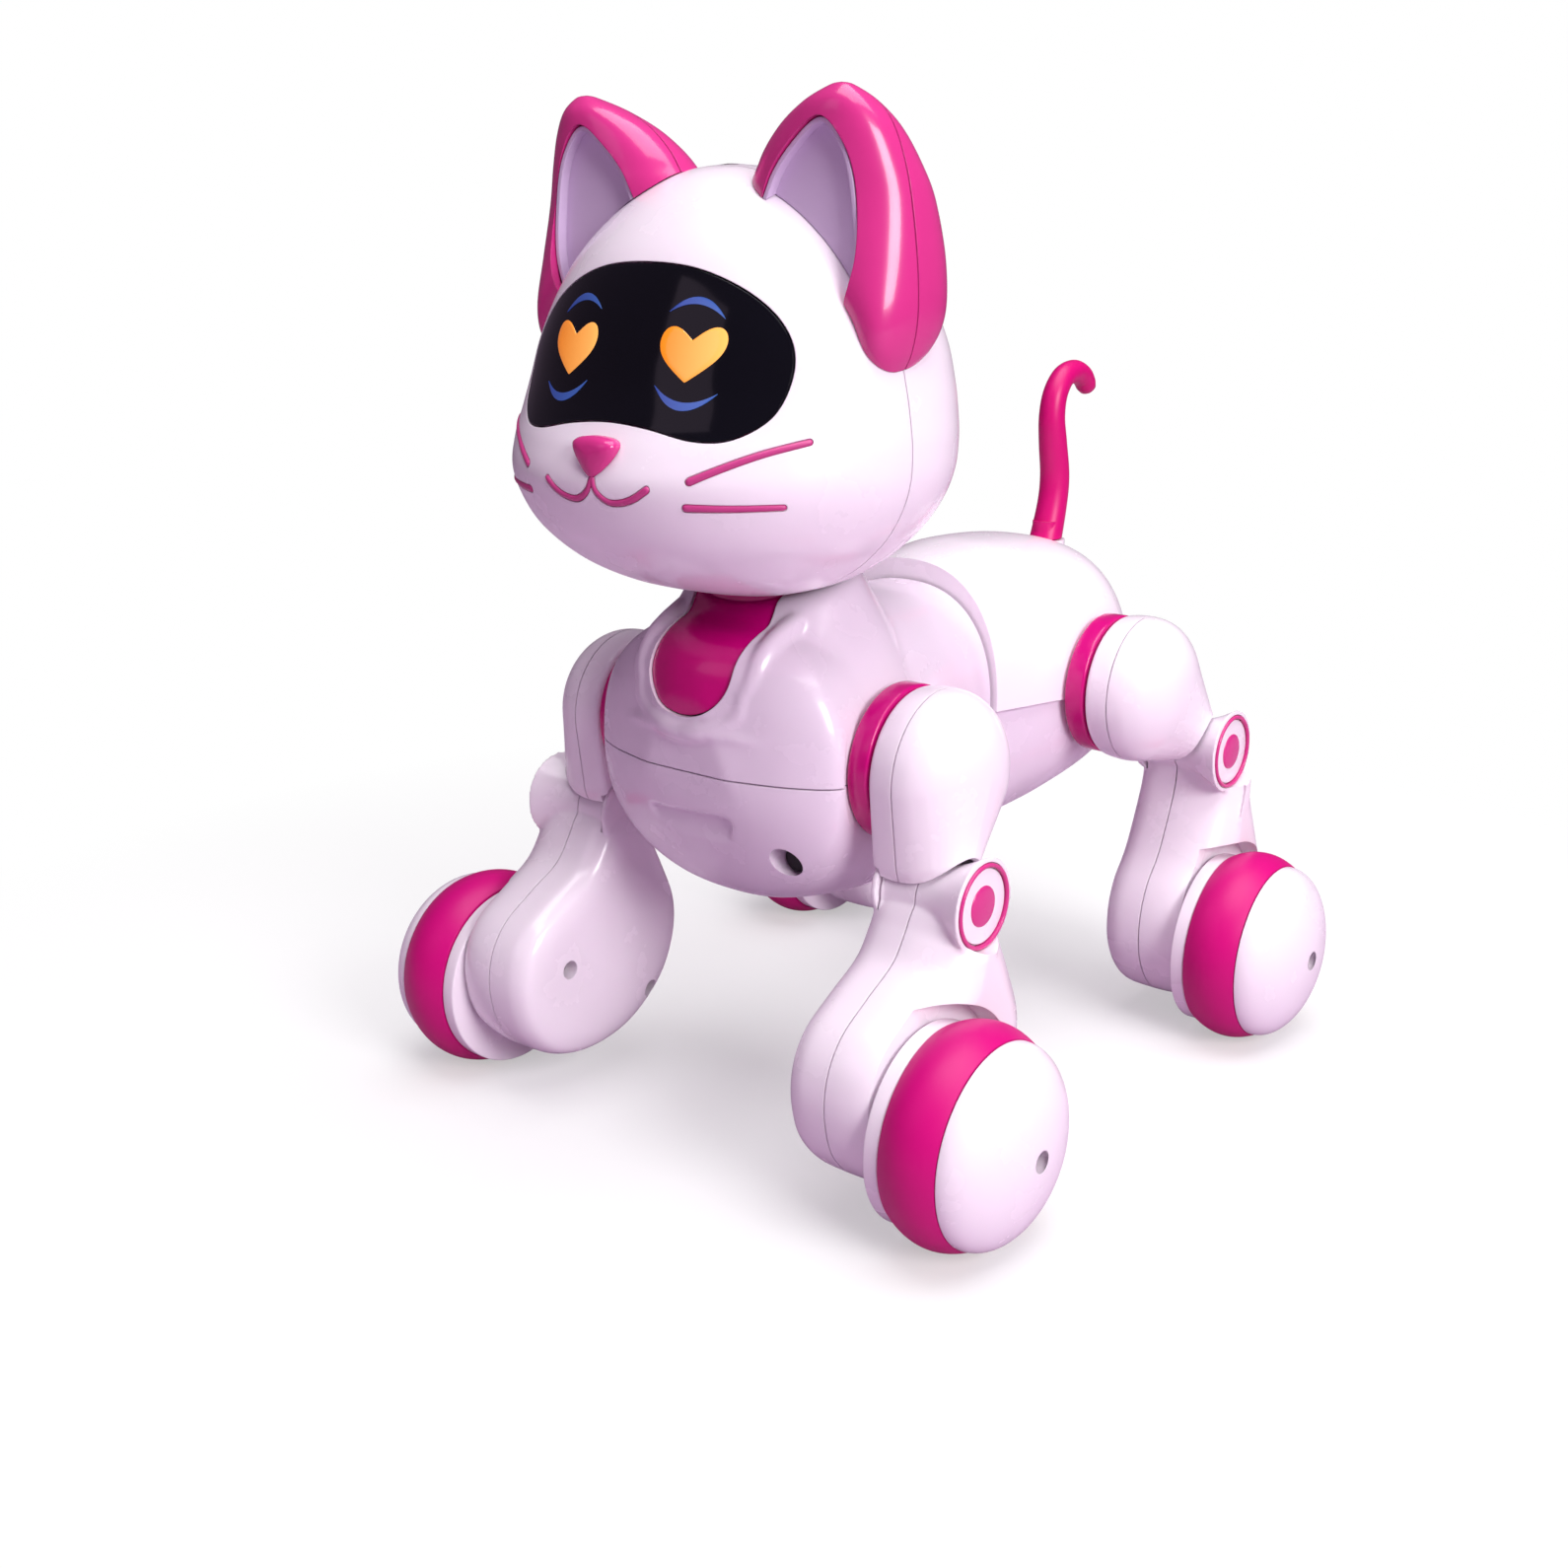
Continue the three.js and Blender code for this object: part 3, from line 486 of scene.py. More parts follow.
def material(name, colour, roughness, coat=0.0, grain=0.0, grain_scale=1500, blush=None, depth=0.0,
             shine=0.5):
    """Moulded plastic or rubber: faint clouds, uneven gloss, fine grain and worn, rounded edges."""
    made, nodes, links, shader = blank_material(name)
    place = nodes.new("ShaderNodeTexCoord")

    def noise(scale, detail=3):
        texture = nodes.new("ShaderNodeTexNoise")
        set_inputs(texture, {"Scale": scale, "Detail": detail})
        links.new(place.outputs["Object"], texture.inputs["Vector"])
        return texture.outputs["Fac"]

    def ramp(value, low, high, span=(0.35, 0.65)):
        blend = nodes.new("ShaderNodeMapRange")
        set_inputs(blend, {"From Min": span[0], "From Max": span[1], "To Min": low, "To Max": high})
        links.new(value, blend.inputs["Value"])
        return blend.outputs["Result"]

    clouds = colour_mix(nodes, {"A": colour, "B": blush or [c * 0.9 for c in colour]})
    links.new(ramp(noise(CLOUD_SCALE), 0, 0.6, (0.2, 0.8)), clouds.inputs["Factor"])
    edges = colour_mix(nodes, {"B": [c + (1 - c) * 0.25 for c in colour]})
    geometry = nodes.new("ShaderNodeNewGeometry")
    wear = nodes.new("ShaderNodeMath")
    wear.operation = "MULTIPLY"
    links.new(ramp(geometry.outputs["Pointiness"], 0, WEAR_LIMIT, WEAR_SPAN), wear.inputs[0])
    links.new(ramp(noise(WEAR_SCALE), 0.2, 1), wear.inputs[1])
    links.new(wear.outputs[0], edges.inputs["Factor"])
    links.new(clouds.outputs["Result"], edges.inputs["A"])
    links.new(edges.outputs["Result"], shader.inputs["Base Color"])
    gloss = ramp(noise(GLOSS_SCALE, 5), roughness * 0.92, roughness * 1.12, (0.2, 0.8))
    links.new(gloss, shader.inputs["Roughness"])
    set_inputs(shader, {"Specular IOR Level": shine, "Coat Weight": coat,
                        "Coat Roughness": COAT_ROUGHNESS, "Subsurface Weight": depth,
                        "Subsurface Radius": SCATTER["radius"], "Subsurface Scale": SCATTER["scale"]})
    soft_edge = nodes.new("ShaderNodeBevel")
    soft_edge.samples = 4
    soft_edge.inputs["Radius"].default_value = SOFT_EDGE * MM
    bump = nodes.new("ShaderNodeBump")
    set_inputs(bump, {"Strength": grain, "Distance": GRAIN_HEIGHT * MM})
    links.new(noise(grain_scale, 2), bump.inputs["Height"])
    links.new(soft_edge.outputs["Normal"], bump.inputs["Normal"])
    links.new(bump.outputs["Normal"], shader.inputs["Normal"])
    return made


def glow(name, low, high, start, strength):
    """A lit shape: two colours that run into each other along x, from a share of the way across."""
    made, nodes, links, shader = blank_material(name)
    place = nodes.new("ShaderNodeTexCoord")
    split = nodes.new("ShaderNodeSeparateXYZ")
    links.new(place.outputs["Generated"], split.inputs["Vector"])
    span = nodes.new("ShaderNodeMapRange")
    set_inputs(span, {"From Min": start, "From Max": 1})
    links.new(split.outputs["X"], span.inputs["Value"])
    blend = colour_mix(nodes, {"A": low, "B": high})
    links.new(span.outputs["Result"], blend.inputs["Factor"])
    links.new(blend.outputs["Result"], shader.inputs["Base Color"])
    links.new(blend.outputs["Result"], shader.inputs["Emission Color"])
    set_inputs(shader, {"Emission Strength": strength, "Roughness": 0.3, "Coat Weight": 1,
                        "Coat Roughness": 0.03})
    return made


PEARL = material("pearl_shell", (0.92, 0.83, 0.91), 0.26, coat=0.3, grain=0.02,
                 blush=(0.91, 0.81, 0.9), depth=0.05)
MAGENTA = material("magenta_gloss", (0.60, 0.0, 0.18), 0.22, coat=0.3, grain=0.02,
                   blush=(0.55, 0.0, 0.19), shine=0.4)
PINK = material("ear_pink", (0.66, 0.035, 0.24), 0.24, coat=0.3, grain=0.02,
                blush=(0.60, 0.03, 0.22), shine=0.4)
# A darker, more lavender copy of the pearl for the chest, belly and battery door: painted shade, for the
# shade the head casts on the torso.
SHADED_PEARL = material("pearl_painted_shade", (0.80, 0.68, 0.80), 0.26, coat=0.3, grain=0.02,
                 blush=(0.79, 0.66, 0.79), depth=0.05)
LAVENDER = material("lavender_satin", (0.66, 0.52, 0.72), 0.42, grain=0.08, blush=(0.62, 0.47, 0.7))
TYRE = material("tyre_magenta", (0.62, 0.0, 0.18), 0.42, grain=0.12, grain_scale=2600,
                blush=(0.57, 0, 0.19), shine=0.3)
TAIL_RUBBER = material("tail_rubber", (0.62, 0.0, 0.16), 0.36, grain=0.08, grain_scale=2200, shine=0.35)
VISOR_BLACK = material("visor_black", (0.003, 0.003, 0.005), 0.1, coat=0.2,
                       blush=(0.004, 0.004, 0.008), shine=0.15)
LINE_PINK = material("line_pink", (0.58, 0.05, 0.24), 0.34, grain=0.05)
# Near-black screw heads, far darker than bare steel: painted shade, so the screws read as dark in their
# recesses.
SHADED_SCREW_STEEL = material("screw_steel", (0.02, 0.016, 0.02), 0.45, grain=0.1, shine=0.2)
HOUSING = material("drive_housing", (0.06, 0.06, 0.07), 0.55, grain=0.3, grain_scale=1800)
BATTERY = material("battery_wrap", (0.04, 0.14, 0.36), 0.4, grain=0.1)
BOARD = material("board_green", (0.03, 0.2, 0.09), 0.5, grain=0.1)
AMBER = glow("amber_glow", (0.85, 0.24, 0.003), (0.95, 0.46, 0.1), 0.1, 0.5)
BLUE = glow("blue_glow", (0.01, 0.05, 0.3), (0.04, 0.12, 0.42), 0, 0.2)


def finish(obj, look, body, *nodes, sharp=35):
    """Shades a piece, gives it its material and puts it on its body in place of CAD nodes."""
    obj.data.materials.clear()
    obj.data.materials.append(look)
    obj.data.polygons.foreach_set("use_smooth", [True] * len(obj.data.polygons))
    obj.data.set_sharp_from_angle(angle=math.radians(sharp))
    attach(obj, body)
    if nodes:
        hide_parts(*nodes)
    return obj


# ---- head ----
FRONT_POWER = 2.15  # how square the head is in front
BACK_POWER = 2.3
SOFT_POWER = 2.4  # the same for the ears and the torso


def head_rings(count, steps, out=0.0):
    """Rings round the head from chin to crown, moved out by a distance."""
    rings = []
    for z, width, front, back in spline(HEAD, steps):
        angles = turns(count)
        across, along = np.cos(angles), np.sin(angles)
        ahead = along < 0
        depth = np.where(ahead, HEAD_MID_Y - front, back - HEAD_MID_Y)
        squareness = np.where(ahead, 2 / FRONT_POWER, 2 / BACK_POWER)
        x = power(across, squareness) * width
        y = HEAD_MID_Y + power(along, squareness) * depth
        rings.append(np.stack([x, y, np.full(count, z)], 1))
    return drawn_in(rings, -out) if out else np.array(rings)


HEAD_LEVELS = spline(HEAD, 12)
VISOR_DEPTH = (-130, -66)


def face_point(x, z, proud=0.0):
    """The point of the face in front of (x, z), standing proud of it by a distance."""
    def surface(x, z):
        width = np.interp(z, HEAD_LEVELS[:, 0], HEAD_LEVELS[:, 1])
        front = np.interp(z, HEAD_LEVELS[:, 0], HEAD_LEVELS[:, 2])
        share = max(1 - abs(x / width) ** FRONT_POWER, 0) ** (1 / FRONT_POWER)
        return np.array([x, HEAD_MID_Y + (front - HEAD_MID_Y) * share, z])
    here = surface(x, z)
    normal = np.cross(surface(x, z + 0.5) - here, surface(x + 0.5, z) - here)
    normal /= np.linalg.norm(normal)
    return here - normal * proud * np.sign(normal[1])


def closed_outline(corners, steps=8, mirror=False):
    """A smooth closed outline; a mirrored one is given by its right half, from top to bottom."""
    if mirror:
        corners = list(corners) + [(-x, z) for x, z in reversed(corners[1:-1])]
    return spline(corners, steps, closed=True)


def shifted_outline(outline, distance):
    """An outline moved out along its own normals."""
    outline = np.asarray(outline, float)
    along = np.roll(outline, -1, 0) - np.roll(outline, 1, 0)
    normal = np.stack([along[:, 1], -along[:, 0]], 1)
    normal /= np.linalg.norm(normal, axis=1)[:, None]
    area = np.sum(outline[:, 0] * np.roll(outline[:, 1], -1) - np.roll(outline[:, 0], -1) * outline[:, 1])
    return outline + normal * distance * (1 if area > 0 else -1)


def face_path(points, sink):
    """A smooth path on the face through (x, z) points, sunk by a distance."""
    return np.array([face_point(x, z, -sink) for x, z in spline(points, 10)])


def make_face_lines(face):
    """Lays every whisker and mouth line in a groove of its own, on both sides of the face."""
    index = 0
    for kind, radius, far_share, half in FACE_LINES:
        for side in (1, -1):
            points = [(side * x, z) for x, z in half]
            groove_path = face_path(points, 0.1)
            radii = radius * np.linspace(1, far_share, len(groove_path))
            combine(face, "DIFFERENCE", tube("tool", groove_path, radii + 0.25))
            line = tube(f"{kind}_{index}", face_path(points, 0.45), radii + 0.15)
            finish(line, LINE_PINK, "head")
            index += 1


def make_head():
    outer = loft("head", head_rings(160, 8))
    hollow = loft("tool", drawn_in(head_rings(80, 4), WALL))
    around = loft("head_around", head_rings(160, 8, out=0.25))
    skin = copy(outer, "head_skin")
    neck_hole = bar("z", 120, NECK_HOLE["top"], (0, NECK_Y), NECK_HOLE["radius"], 96)
    combine(outer, "DIFFERENCE", hollow, neck_hole)

    face = part_between(outer, "face_shell", y=(-FAR, HEAD_SEAM_Y - GAP / 2))
    rear = part_between(outer, "head_back", y=(HEAD_SEAM_Y + GAP / 2, FAR))
    remove(outer)
    for x in LUG_STARTS:
        lug = box((x, -53, 154.5), (x + LUG_WIDTH, -12, 165.5))
        combine(lug, "INTERSECT", skin, keep=True)
        combine(rear, "UNION", lug)
    combine(rear, "DIFFERENCE", bar("x", -20, 20, NOD_PIN, 3.1))

    rim = closed_outline(VISOR, mirror=True)
    combine(face, "DIFFERENCE", prism(rim, "y", *VISOR_DEPTH))
    nose_outline = closed_outline(NOSE, 6)
    combine(face, "DIFFERENCE", prism(shifted_outline(nose_outline, -1.5), "y", -115, -95))
    make_face_lines(face)
    finish(face, PEARL, "head", "head_front_shell")
    finish(rear, PEARL, "head", "head_rear_shell")

    visor = copy(skin, "visor")
    combine(visor, "INTERSECT", prism(shifted_outline(rim, -GAP), "y", *VISOR_DEPTH))
    combine(visor, "DIFFERENCE", loft("tool", drawn_in(head_rings(80, 4), 2 * WALL)))
    finish(visor, VISOR_BLACK, "head", "face_visor")
    remove(skin)
    make_eyes()
    make_nose(nose_outline, around)
    make_ears(around)
    remove(around)


def face_patch(name, outline, look):
    """A thin plate that follows the face, built in rings round the middle of its outline."""
    proud, thick = PLATE["proud"], PLATE["thick"]
    outline = np.asarray(outline, float)
    middle = outline.mean(0)
    shares = (0.0, 0.25, 0.5, 0.75, 0.93, 1.0)
    points = []
    for share in shares:
        lift = proud if share < 1 else proud * 0.3
        points += [face_point(*(middle + (p - middle) * share), lift) for p in outline]
    count = len(outline)
    faces = faces_between(len(shares), count)
    rim = (len(shares) - 1) * count
    back = len(points)
    points += [face_point(*p, proud - thick) for p in outline]
    points.append(face_point(*middle, proud - thick))
    for i in range(count):
        j = (i + 1) % count
        faces.append((rim + i, rim + j, back + j, back + i))
        faces.append((back + i, back + j, back + count))
    plate = mesh_object(name, points, faces)
    work = bmesh.new()
    work.from_mesh(plate.data)
    bmesh.ops.remove_doubles(work, verts=work.verts, dist=1e-6)
    bmesh.ops.recalc_face_normals(work, faces=work.faces)
    work.to_mesh(plate.data)
    work.free()
    return finish(plate, look, "head", sharp=60)


def crescent(inner, middle, outer, thickness):
    """A bow through three points, thick in the middle and pointed at both ends."""
    across = np.linspace(inner[0], outer[0], 25)
    bow = np.polyfit([inner[0], middle[0], outer[0]], [inner[1], middle[1], outer[1]], 2)
    spine = np.stack([across, np.polyval(bow, across)], 1)
    along = np.gradient(spine, axis=0)
    normal = np.stack([-along[:, 1], along[:, 0]], 1)
    normal /= np.linalg.norm(normal, axis=1)[:, None]
    swell = np.sin(np.linspace(0.06, math.pi - 0.06, len(spine)))[:, None] * thickness / 2
    return np.vstack([spine + normal * swell, (spine - normal * swell)[::-1]])


def bow_patch(name, outline, look):
    """A thin bowed plate that follows the face."""
    half = len(outline) // 2
    upper, lower = outline[:half], outline[half:][::-1]
    points, faces = [], []
    for lift in (PLATE["proud"], -0.4):
        for a, b in zip(upper, lower):
            points += [face_point(*a, lift), face_point(*((a + b) / 2), lift + 0.03), face_point(*b, lift)]
    for i in range(half - 1):
        for k in range(2):
            top = 3 * i + k
            under = top + 3 * half
            faces.append((top, top + 1, top + 4, top + 3))
            faces.append((under, under + 3, under + 4, under + 1))
        for k in (0, 2):
            a, b = 3 * i + k, 3 * (i + 1) + k
            faces.append((a, b, b + 3 * half, a + 3 * half))
    for i in (0, half - 1):
        for k in range(2):
            a = 3 * i + k
            faces.append((a, a + 1, a + 1 + 3 * half, a + 3 * half))
    return finish(mesh_object(name, points, faces), look, "head", sharp=60)


def heart_outline():
    """The usual heart curve round its own middle, at the size of an eye."""
    angles = turns(72)
    x = power(np.sin(angles), 1.8) * 16
    z = 13 * np.cos(angles) - 5 * np.cos(2 * angles) - 2 * np.cos(3 * angles) - np.cos(4 * angles)
    return (np.stack([x, z], 1) - (0, -2.5)) * (EYE["half_width"] / 16, EYE["half_height"] / 14.5)


def make_eyes():
    heart = heart_outline()
    for side, name in ((1, "left"), (-1, "right")):
        place = np.array([EYE["x"] * side, EYE["z"]])
        face_patch("eye_heart_" + name, place + heart * (side, 1), AMBER)
        brow = crescent(*[(x * side, z) for x, z in EYE_BROW], 1.5)
        lower = crescent(*[(x * side, z) for x, z in EYE_UNDER], 1.7)
        bow_patch("eye_brow_" + name, brow, BLUE)
        bow_patch("eye_under_" + name, lower, BLUE)


def make_nose(outline, around):
    centre = np.array(NOSE_MIDDLE)
    rings = []
    for y, share in NOSE_LEVELS:
        ring = centre + (outline - centre) * share
        rings.append([(x, y, z) for x, z in ring])
    nose = loft("nose_tip", rings)
    combine(nose, "DIFFERENCE", around, keep=True)
    peg = prism(shifted_outline(outline, -1.9), "y", -106, -100)
    combine(nose, "UNION", peg)
    finish(nose, PINK, "head", "nose")


def ear_rings(count, steps):
    rings = []
    for z, inner, outer, front, back in spline(EAR, steps):
        angles = turns(count)
        x = (inner + outer) / 2 + power(np.cos(angles), 2 / SOFT_POWER) * (outer - inner) / 2
        y = (front + back) / 2 + power(np.sin(angles), 2 / SOFT_POWER) * (back - front) / 2
        rings.append(np.stack([x, y, np.full(count, z)], 1))
    return np.array(rings)


def make_ears(around):
    """Each ear is a shell in two halves, with a lavender cup in the opening of the front one."""
    ear = loft("ear", ear_rings(96, 10))
    combine(ear, "DIFFERENCE", around, keep=True)
    combine(ear, "DIFFERENCE", loft("tool", drawn_in(ear_rings(48, 5), WALL)))
    panel = closed_outline(EAR_PANEL)
    front = part_between(ear, "ear_shell_front_left", y=(-FAR, HEAD_SEAM_Y - GAP / 2))
    combine(front, "DIFFERENCE", prism(panel, "y", -80, -66))
    rear = part_between(ear, "ear_shell_rear_left", y=(HEAD_SEAM_Y + GAP / 2, FAR))
    remove(ear)
    cup = prism(shifted_outline(panel, -GAP), "y", -70.6, -66.5)
    combine(cup, "DIFFERENCE", prism(shifted_outline(panel, -1.3), "y", -80, -68))
    combine(cup, "DIFFERENCE", around, keep=True)
    cup.name = "ear_panel_left"
    pieces = [(front, PINK, "ear_front_"), (rear, PINK, "ear_rear_"), (cup, LAVENDER, "ear_inner_")]
    for piece, look, node in pieces:
        twin = mirrored(piece, piece.name.replace("left", "right"))
        finish(piece, look, "head", node + "left")
        finish(twin, look, "head", node + "right")


# ---- torso ----
def joint_place(name):
    """Where a joint's axis crosses the leg, in y and z."""
    _, y, z = JOINTS[name]["pos_m"]
    return y / MM, z / MM


def torso_rings(rows, count, steps):
    """Rings along the torso, level with each other at the seam."""
    rings = []
    for y, width, top, bottom in spline(rows, steps):
        seam = min(max(SEAM_Z, bottom), top)
        angles = turns(count)
        reach = np.where(np.sin(angles) > 0, top - seam, seam - bottom)
        x = power(np.cos(angles), 2 / SOFT_POWER) * max(width, 0.05)
        z = seam + power(np.sin(angles), 2 / SOFT_POWER) * reach
        rings.append(np.stack([x, np.full(count, y), z], 1))
    return np.array(rings)


def collar_rings(scale, count, steps):
    """Rings up the collar, or up its lining if the scale is under 1; a lining ends above the rim."""
    low, high = COLLAR[0][0], COLLAR[-1][0]
    rings = []
    for z, half_x, half_y in spline(COLLAR, steps):
        angles = turns(count)
        y = COLLAR_Y + scale * half_y * np.sin(angles)
        share = (z - low) / (high - low)
        climb = COLLAR_CLIMB * share * (1 - np.exp(-COLLAR_CURVE * np.maximum(0, y - COLLAR_FRONT_Y)))
        over = 3 if scale < 1 and z >= high else 0
        rings.append(np.stack([scale * half_x * np.cos(angles), y, z + climb + over], 1))
    return np.array(rings)


def hip_seats(shell):
    """Flattens a shell where the hip rings turn and bores it for their shafts."""
    for end in ("front", "rear"):
        centre = joint_place(f"hip_{end}_left")
        combine(shell, "DIFFERENCE", bar("x", HIP_FACE_X, 80, centre, HIP_SEAT, 96),
                bar("x", -80, -HIP_FACE_X, centre, HIP_SEAT, 96), bar("x", -80, 80, centre, HIP_BORE))
    return shell


def front_of(obj, x, z):
    """The foremost point of a piece at (x, z)."""
    _, place, _, _ = obj.ray_cast(Vector((x, -120, z)) * MM, Vector((0, 1, 0)))
    return tuple(place / MM)


def make_body(bib):
    """The torso as one solid: its loft, the collar, the brim round the bib and the shallow pocket."""
    body = loft("torso_body", torso_rings(TORSO, 128, 8))
    combine(body, "UNION", loft("tool", collar_rings(1, 96, 6)))
    fused(body, 0.7, 14)
    brim = spline([(x * 1.32, z - 3.6 if z < 120 else z) for x, z in bib if z < 138], 1)
    brim = [front_of(body, x, z) for x, z in brim]
    combine(body, "UNION", tube("tool", [(x, y + 2.5, z) for x, y, z in brim], np.full(len(brim), 3.0)))
    combine(body, "DIFFERENCE", prism(rounded(POCKET, 3), "y", -90, -73.4))
    return fused(body, 0.55, 12)


def make_chest(body, bib):
    """The chest cover and the bib that fills its opening, with the neck's plug behind the bib."""
    above_seam = (SEAM_Z + GAP / 2, FAR)
    chest = part_between(body, "chest_shell", y=(-FAR, WAIST_Y - WAIST_GAP), z=above_seam)
    hip_seats(chest)
    bib_copy = part_between(body, "bib_plate", y=(-FAR, -55), z=above_seam)
    combine(chest, "DIFFERENCE", prism(bib, "y", -90, -55))
    combine(bib_copy, "INTERSECT", prism(shifted_outline(bib, -GAP), "y", -90, -55))
    for vertex in bib_copy.data.vertices:
        vertex.co.y += BIB_PROUD * MM
    low, high = BIB_PLUG["low"], BIB_PLUG["high"]
    plug = bar("z", low, high, (0, COLLAR_Y), BIB_PLUG["radius"], 96)
    combine(plug, "DIFFERENCE", bar("z", low - 5, high + 5, (0, NECK_Y), BIB_PLUG["bore"], 64))
    combine(bib_copy, "UNION", plug, box((-8, -62.3, 129), (8, -58, 134.5)))
    # The chest cover takes the darker pearl, which is painted shade.
    finish(chest, SHADED_PEARL, "torso", "chest_cover")
    finish(bib_copy, MAGENTA, "torso", "chest_bib")


def make_belly(body, outer):
    """The belly shell with its battery opening, sound slots, screw holes and backed-up pocket."""
    belly = part_between(body, "belly", z=(-FAR, SEAM_Z - GAP / 2))
    hip_seats(belly)
    battery_opening = box((-16.3, -36.3, 40), (16.3, 8.3, 62))
    switch_slot = box((-5, 21.6, 40), (5, 26.4, 66))
    combine(belly, "DIFFERENCE", battery_opening, switch_slot)
    for y in (60, 65, 70):
        vent = rounded([(-9, y), (9, y), (9, y + 1.8), (-9, y + 1.8)], 0.8)
        combine(belly, "DIFFERENCE", prism(vent, "z", 50, 80))
    for x in (-13, 13):
        combine(belly, "DIFFERENCE", bar("z", 40, 80, (x, -44), 2.6))
    for backing in (bar("y", -69, -58, CHEST_SCREW, 6), box((-18, -77, 77), (15, -70, 93))):
        combine(backing, "INTERSECT", outer, keep=True)
        combine(belly, "UNION", backing)
    combine(belly, "DIFFERENCE", bar("y", -90, -61, CHEST_SCREW, 3.9))
    screw_head = bar("y", -65.5, -60.8, CHEST_SCREW, 3.3)
    screw_head.name = "chest_screw"
    finish(screw_head, SHADED_SCREW_STEEL, "torso")
    # The belly shell takes the darker pearl, which is painted shade.
    finish(belly, SHADED_PEARL, "torso", "belly_shell")


def make_back():
    """The back cover, which stands proud of the body and carries the tail's boss."""
    back = loft("back_shell", torso_rings(BACK, 128, 8))
    hollow = loft("tool", drawn_in(torso_rings(BACK, 64, 4), WALL))
    combine(hollow, "INTERSECT", box((-FAR, WAIST_Y + 3, -FAR), (FAR, FAR, FAR)))
    combine(back, "DIFFERENCE", hollow, loft("tool", drawn_in(torso_rings(BACK, 64, 4), 6)))
    combine(back, "INTERSECT", box((-FAR, WAIST_Y + GAP / 2, SEAM_Z + GAP / 2), (FAR, FAR, FAR)))
    hip_seats(back)
    combine(back, "UNION", bar("z", 122, 134.5, TAIL_PLACE, 6))
    combine(back, "DIFFERENCE", bar("z", 110, 150, TAIL_PLACE, 4.2))
    finish(back, PEARL, "torso", "back_cover")


def make_torso():
    bib = spline(list(BIB)[::-1] + [(-x, z) for x, z in BIB[1:]], 8)
    body = make_body(bib)
    hollow = loft("tool", drawn_in(torso_rings(TORSO, 64, 4), WALL))
    lining = loft("lining", collar_rings(LINING_SHARE, 64, 4))
    outer = copy(body, "torso_outer")
    combine(body, "DIFFERENCE", hollow, lining)
    make_chest(body, bib)
    make_belly(body, outer)
    remove(body)
    remove(outer)
    make_back()


def make_neck_and_tail():
    """The post that turns in the bib's plug and holds the nod pin, and the tail on its swivel."""
    post = bar("z", 114, 158, (0, NECK_Y), 7.2, 64)
    foot = bar("z", 114, 117, (0, NECK_Y), 12, 64)
    combine(post, "UNION", foot, bar("x", -13, 13, NOD_PIN, 5), bar("x", -18, 18, NOD_PIN, 2.8))
    post.name = "neck_column"
    finish(post, MAGENTA, "neck", "neck_post")

    line = spline(TAIL, 12)
    tail = tube("tail_curl", [(0, y, z) for y, z, _ in line], line[:, 2], 40)
    combine(tail, "INTERSECT", box((-20, 60, 134.8), (20, 130, 220)))
    combine(tail, "UNION", bar("z", 119, 140, TAIL_PLACE, 3.8), bar("z", 119, 121.5, TAIL_PLACE, 5.6))
    finish(tail, TAIL_RUBBER, "tail_body", "tail")


# ---- legs ----
def belt(x, big, small, count):
    """A belt round two circles: one outline point for each direction."""
    angles = turns(count)
    toward = np.stack([np.cos(angles), np.sin(angles)], 1)
    reach = [toward @ np.array(c[:2]) + c[2] for c in (big, small)]
    pick = reach[0] >= reach[1]
    y = np.where(pick, big[0] + big[2] * toward[:, 0], small[0] + small[2] * toward[:, 0])
    z = np.where(pick, big[1] + big[2] * toward[:, 1], small[1] + small[2] * toward[:, 1])
    return np.stack([np.full(count, x), y, z], 1)


def pod_rings(end, count, steps, shrink=0.0):
    """Rings across an upper leg, each a belt round its hip and knee."""
    rings = []
    for x, scale in spline(POD_LEVELS, steps):
        circles = [(y, z, max(r * scale, 0.05)) for y, z, r in PODS[end]]
        rings.append(belt(x, *circles, count))
    return drawn_in(rings, shrink) if shrink else np.array(rings)


def leg_rings(end, count, steps):
    """Rings across a lower leg, each its outline drawn in by the level's inset."""
    outline = spline(LEG_OUTLINE[end], count // len(LEG_OUTLINE[end]), closed=True)
    return np.array([[(x, *p) for p in shifted_outline(outline, -inset)]
                     for x, inset in spline(LEG_LEVELS, steps)])


def spool_profile(extra):
    """The knee's trumpet: a flange, a waist and a flare; the tool that clears it is wider and longer."""
    inner, outer, waist, flare, flange = SPOOL.values()
    reach = 10 if extra else 0
    profile = [(inner - reach, flange + extra), (45.6, flange + extra), (45.6, waist + extra)]
    for x in np.linspace(LOWER_SEAM_X, outer, 12):
        share = (x - LOWER_SEAM_X) / (outer - LOWER_SEAM_X)
        profile.append((x, waist + extra + (flare - waist) * share ** 2))
    if extra:
        profile.append((outer + reach, flare + extra))
    return [(profile[0][0], 0.01)] + profile + [(profile[-1][0], 0.01)]


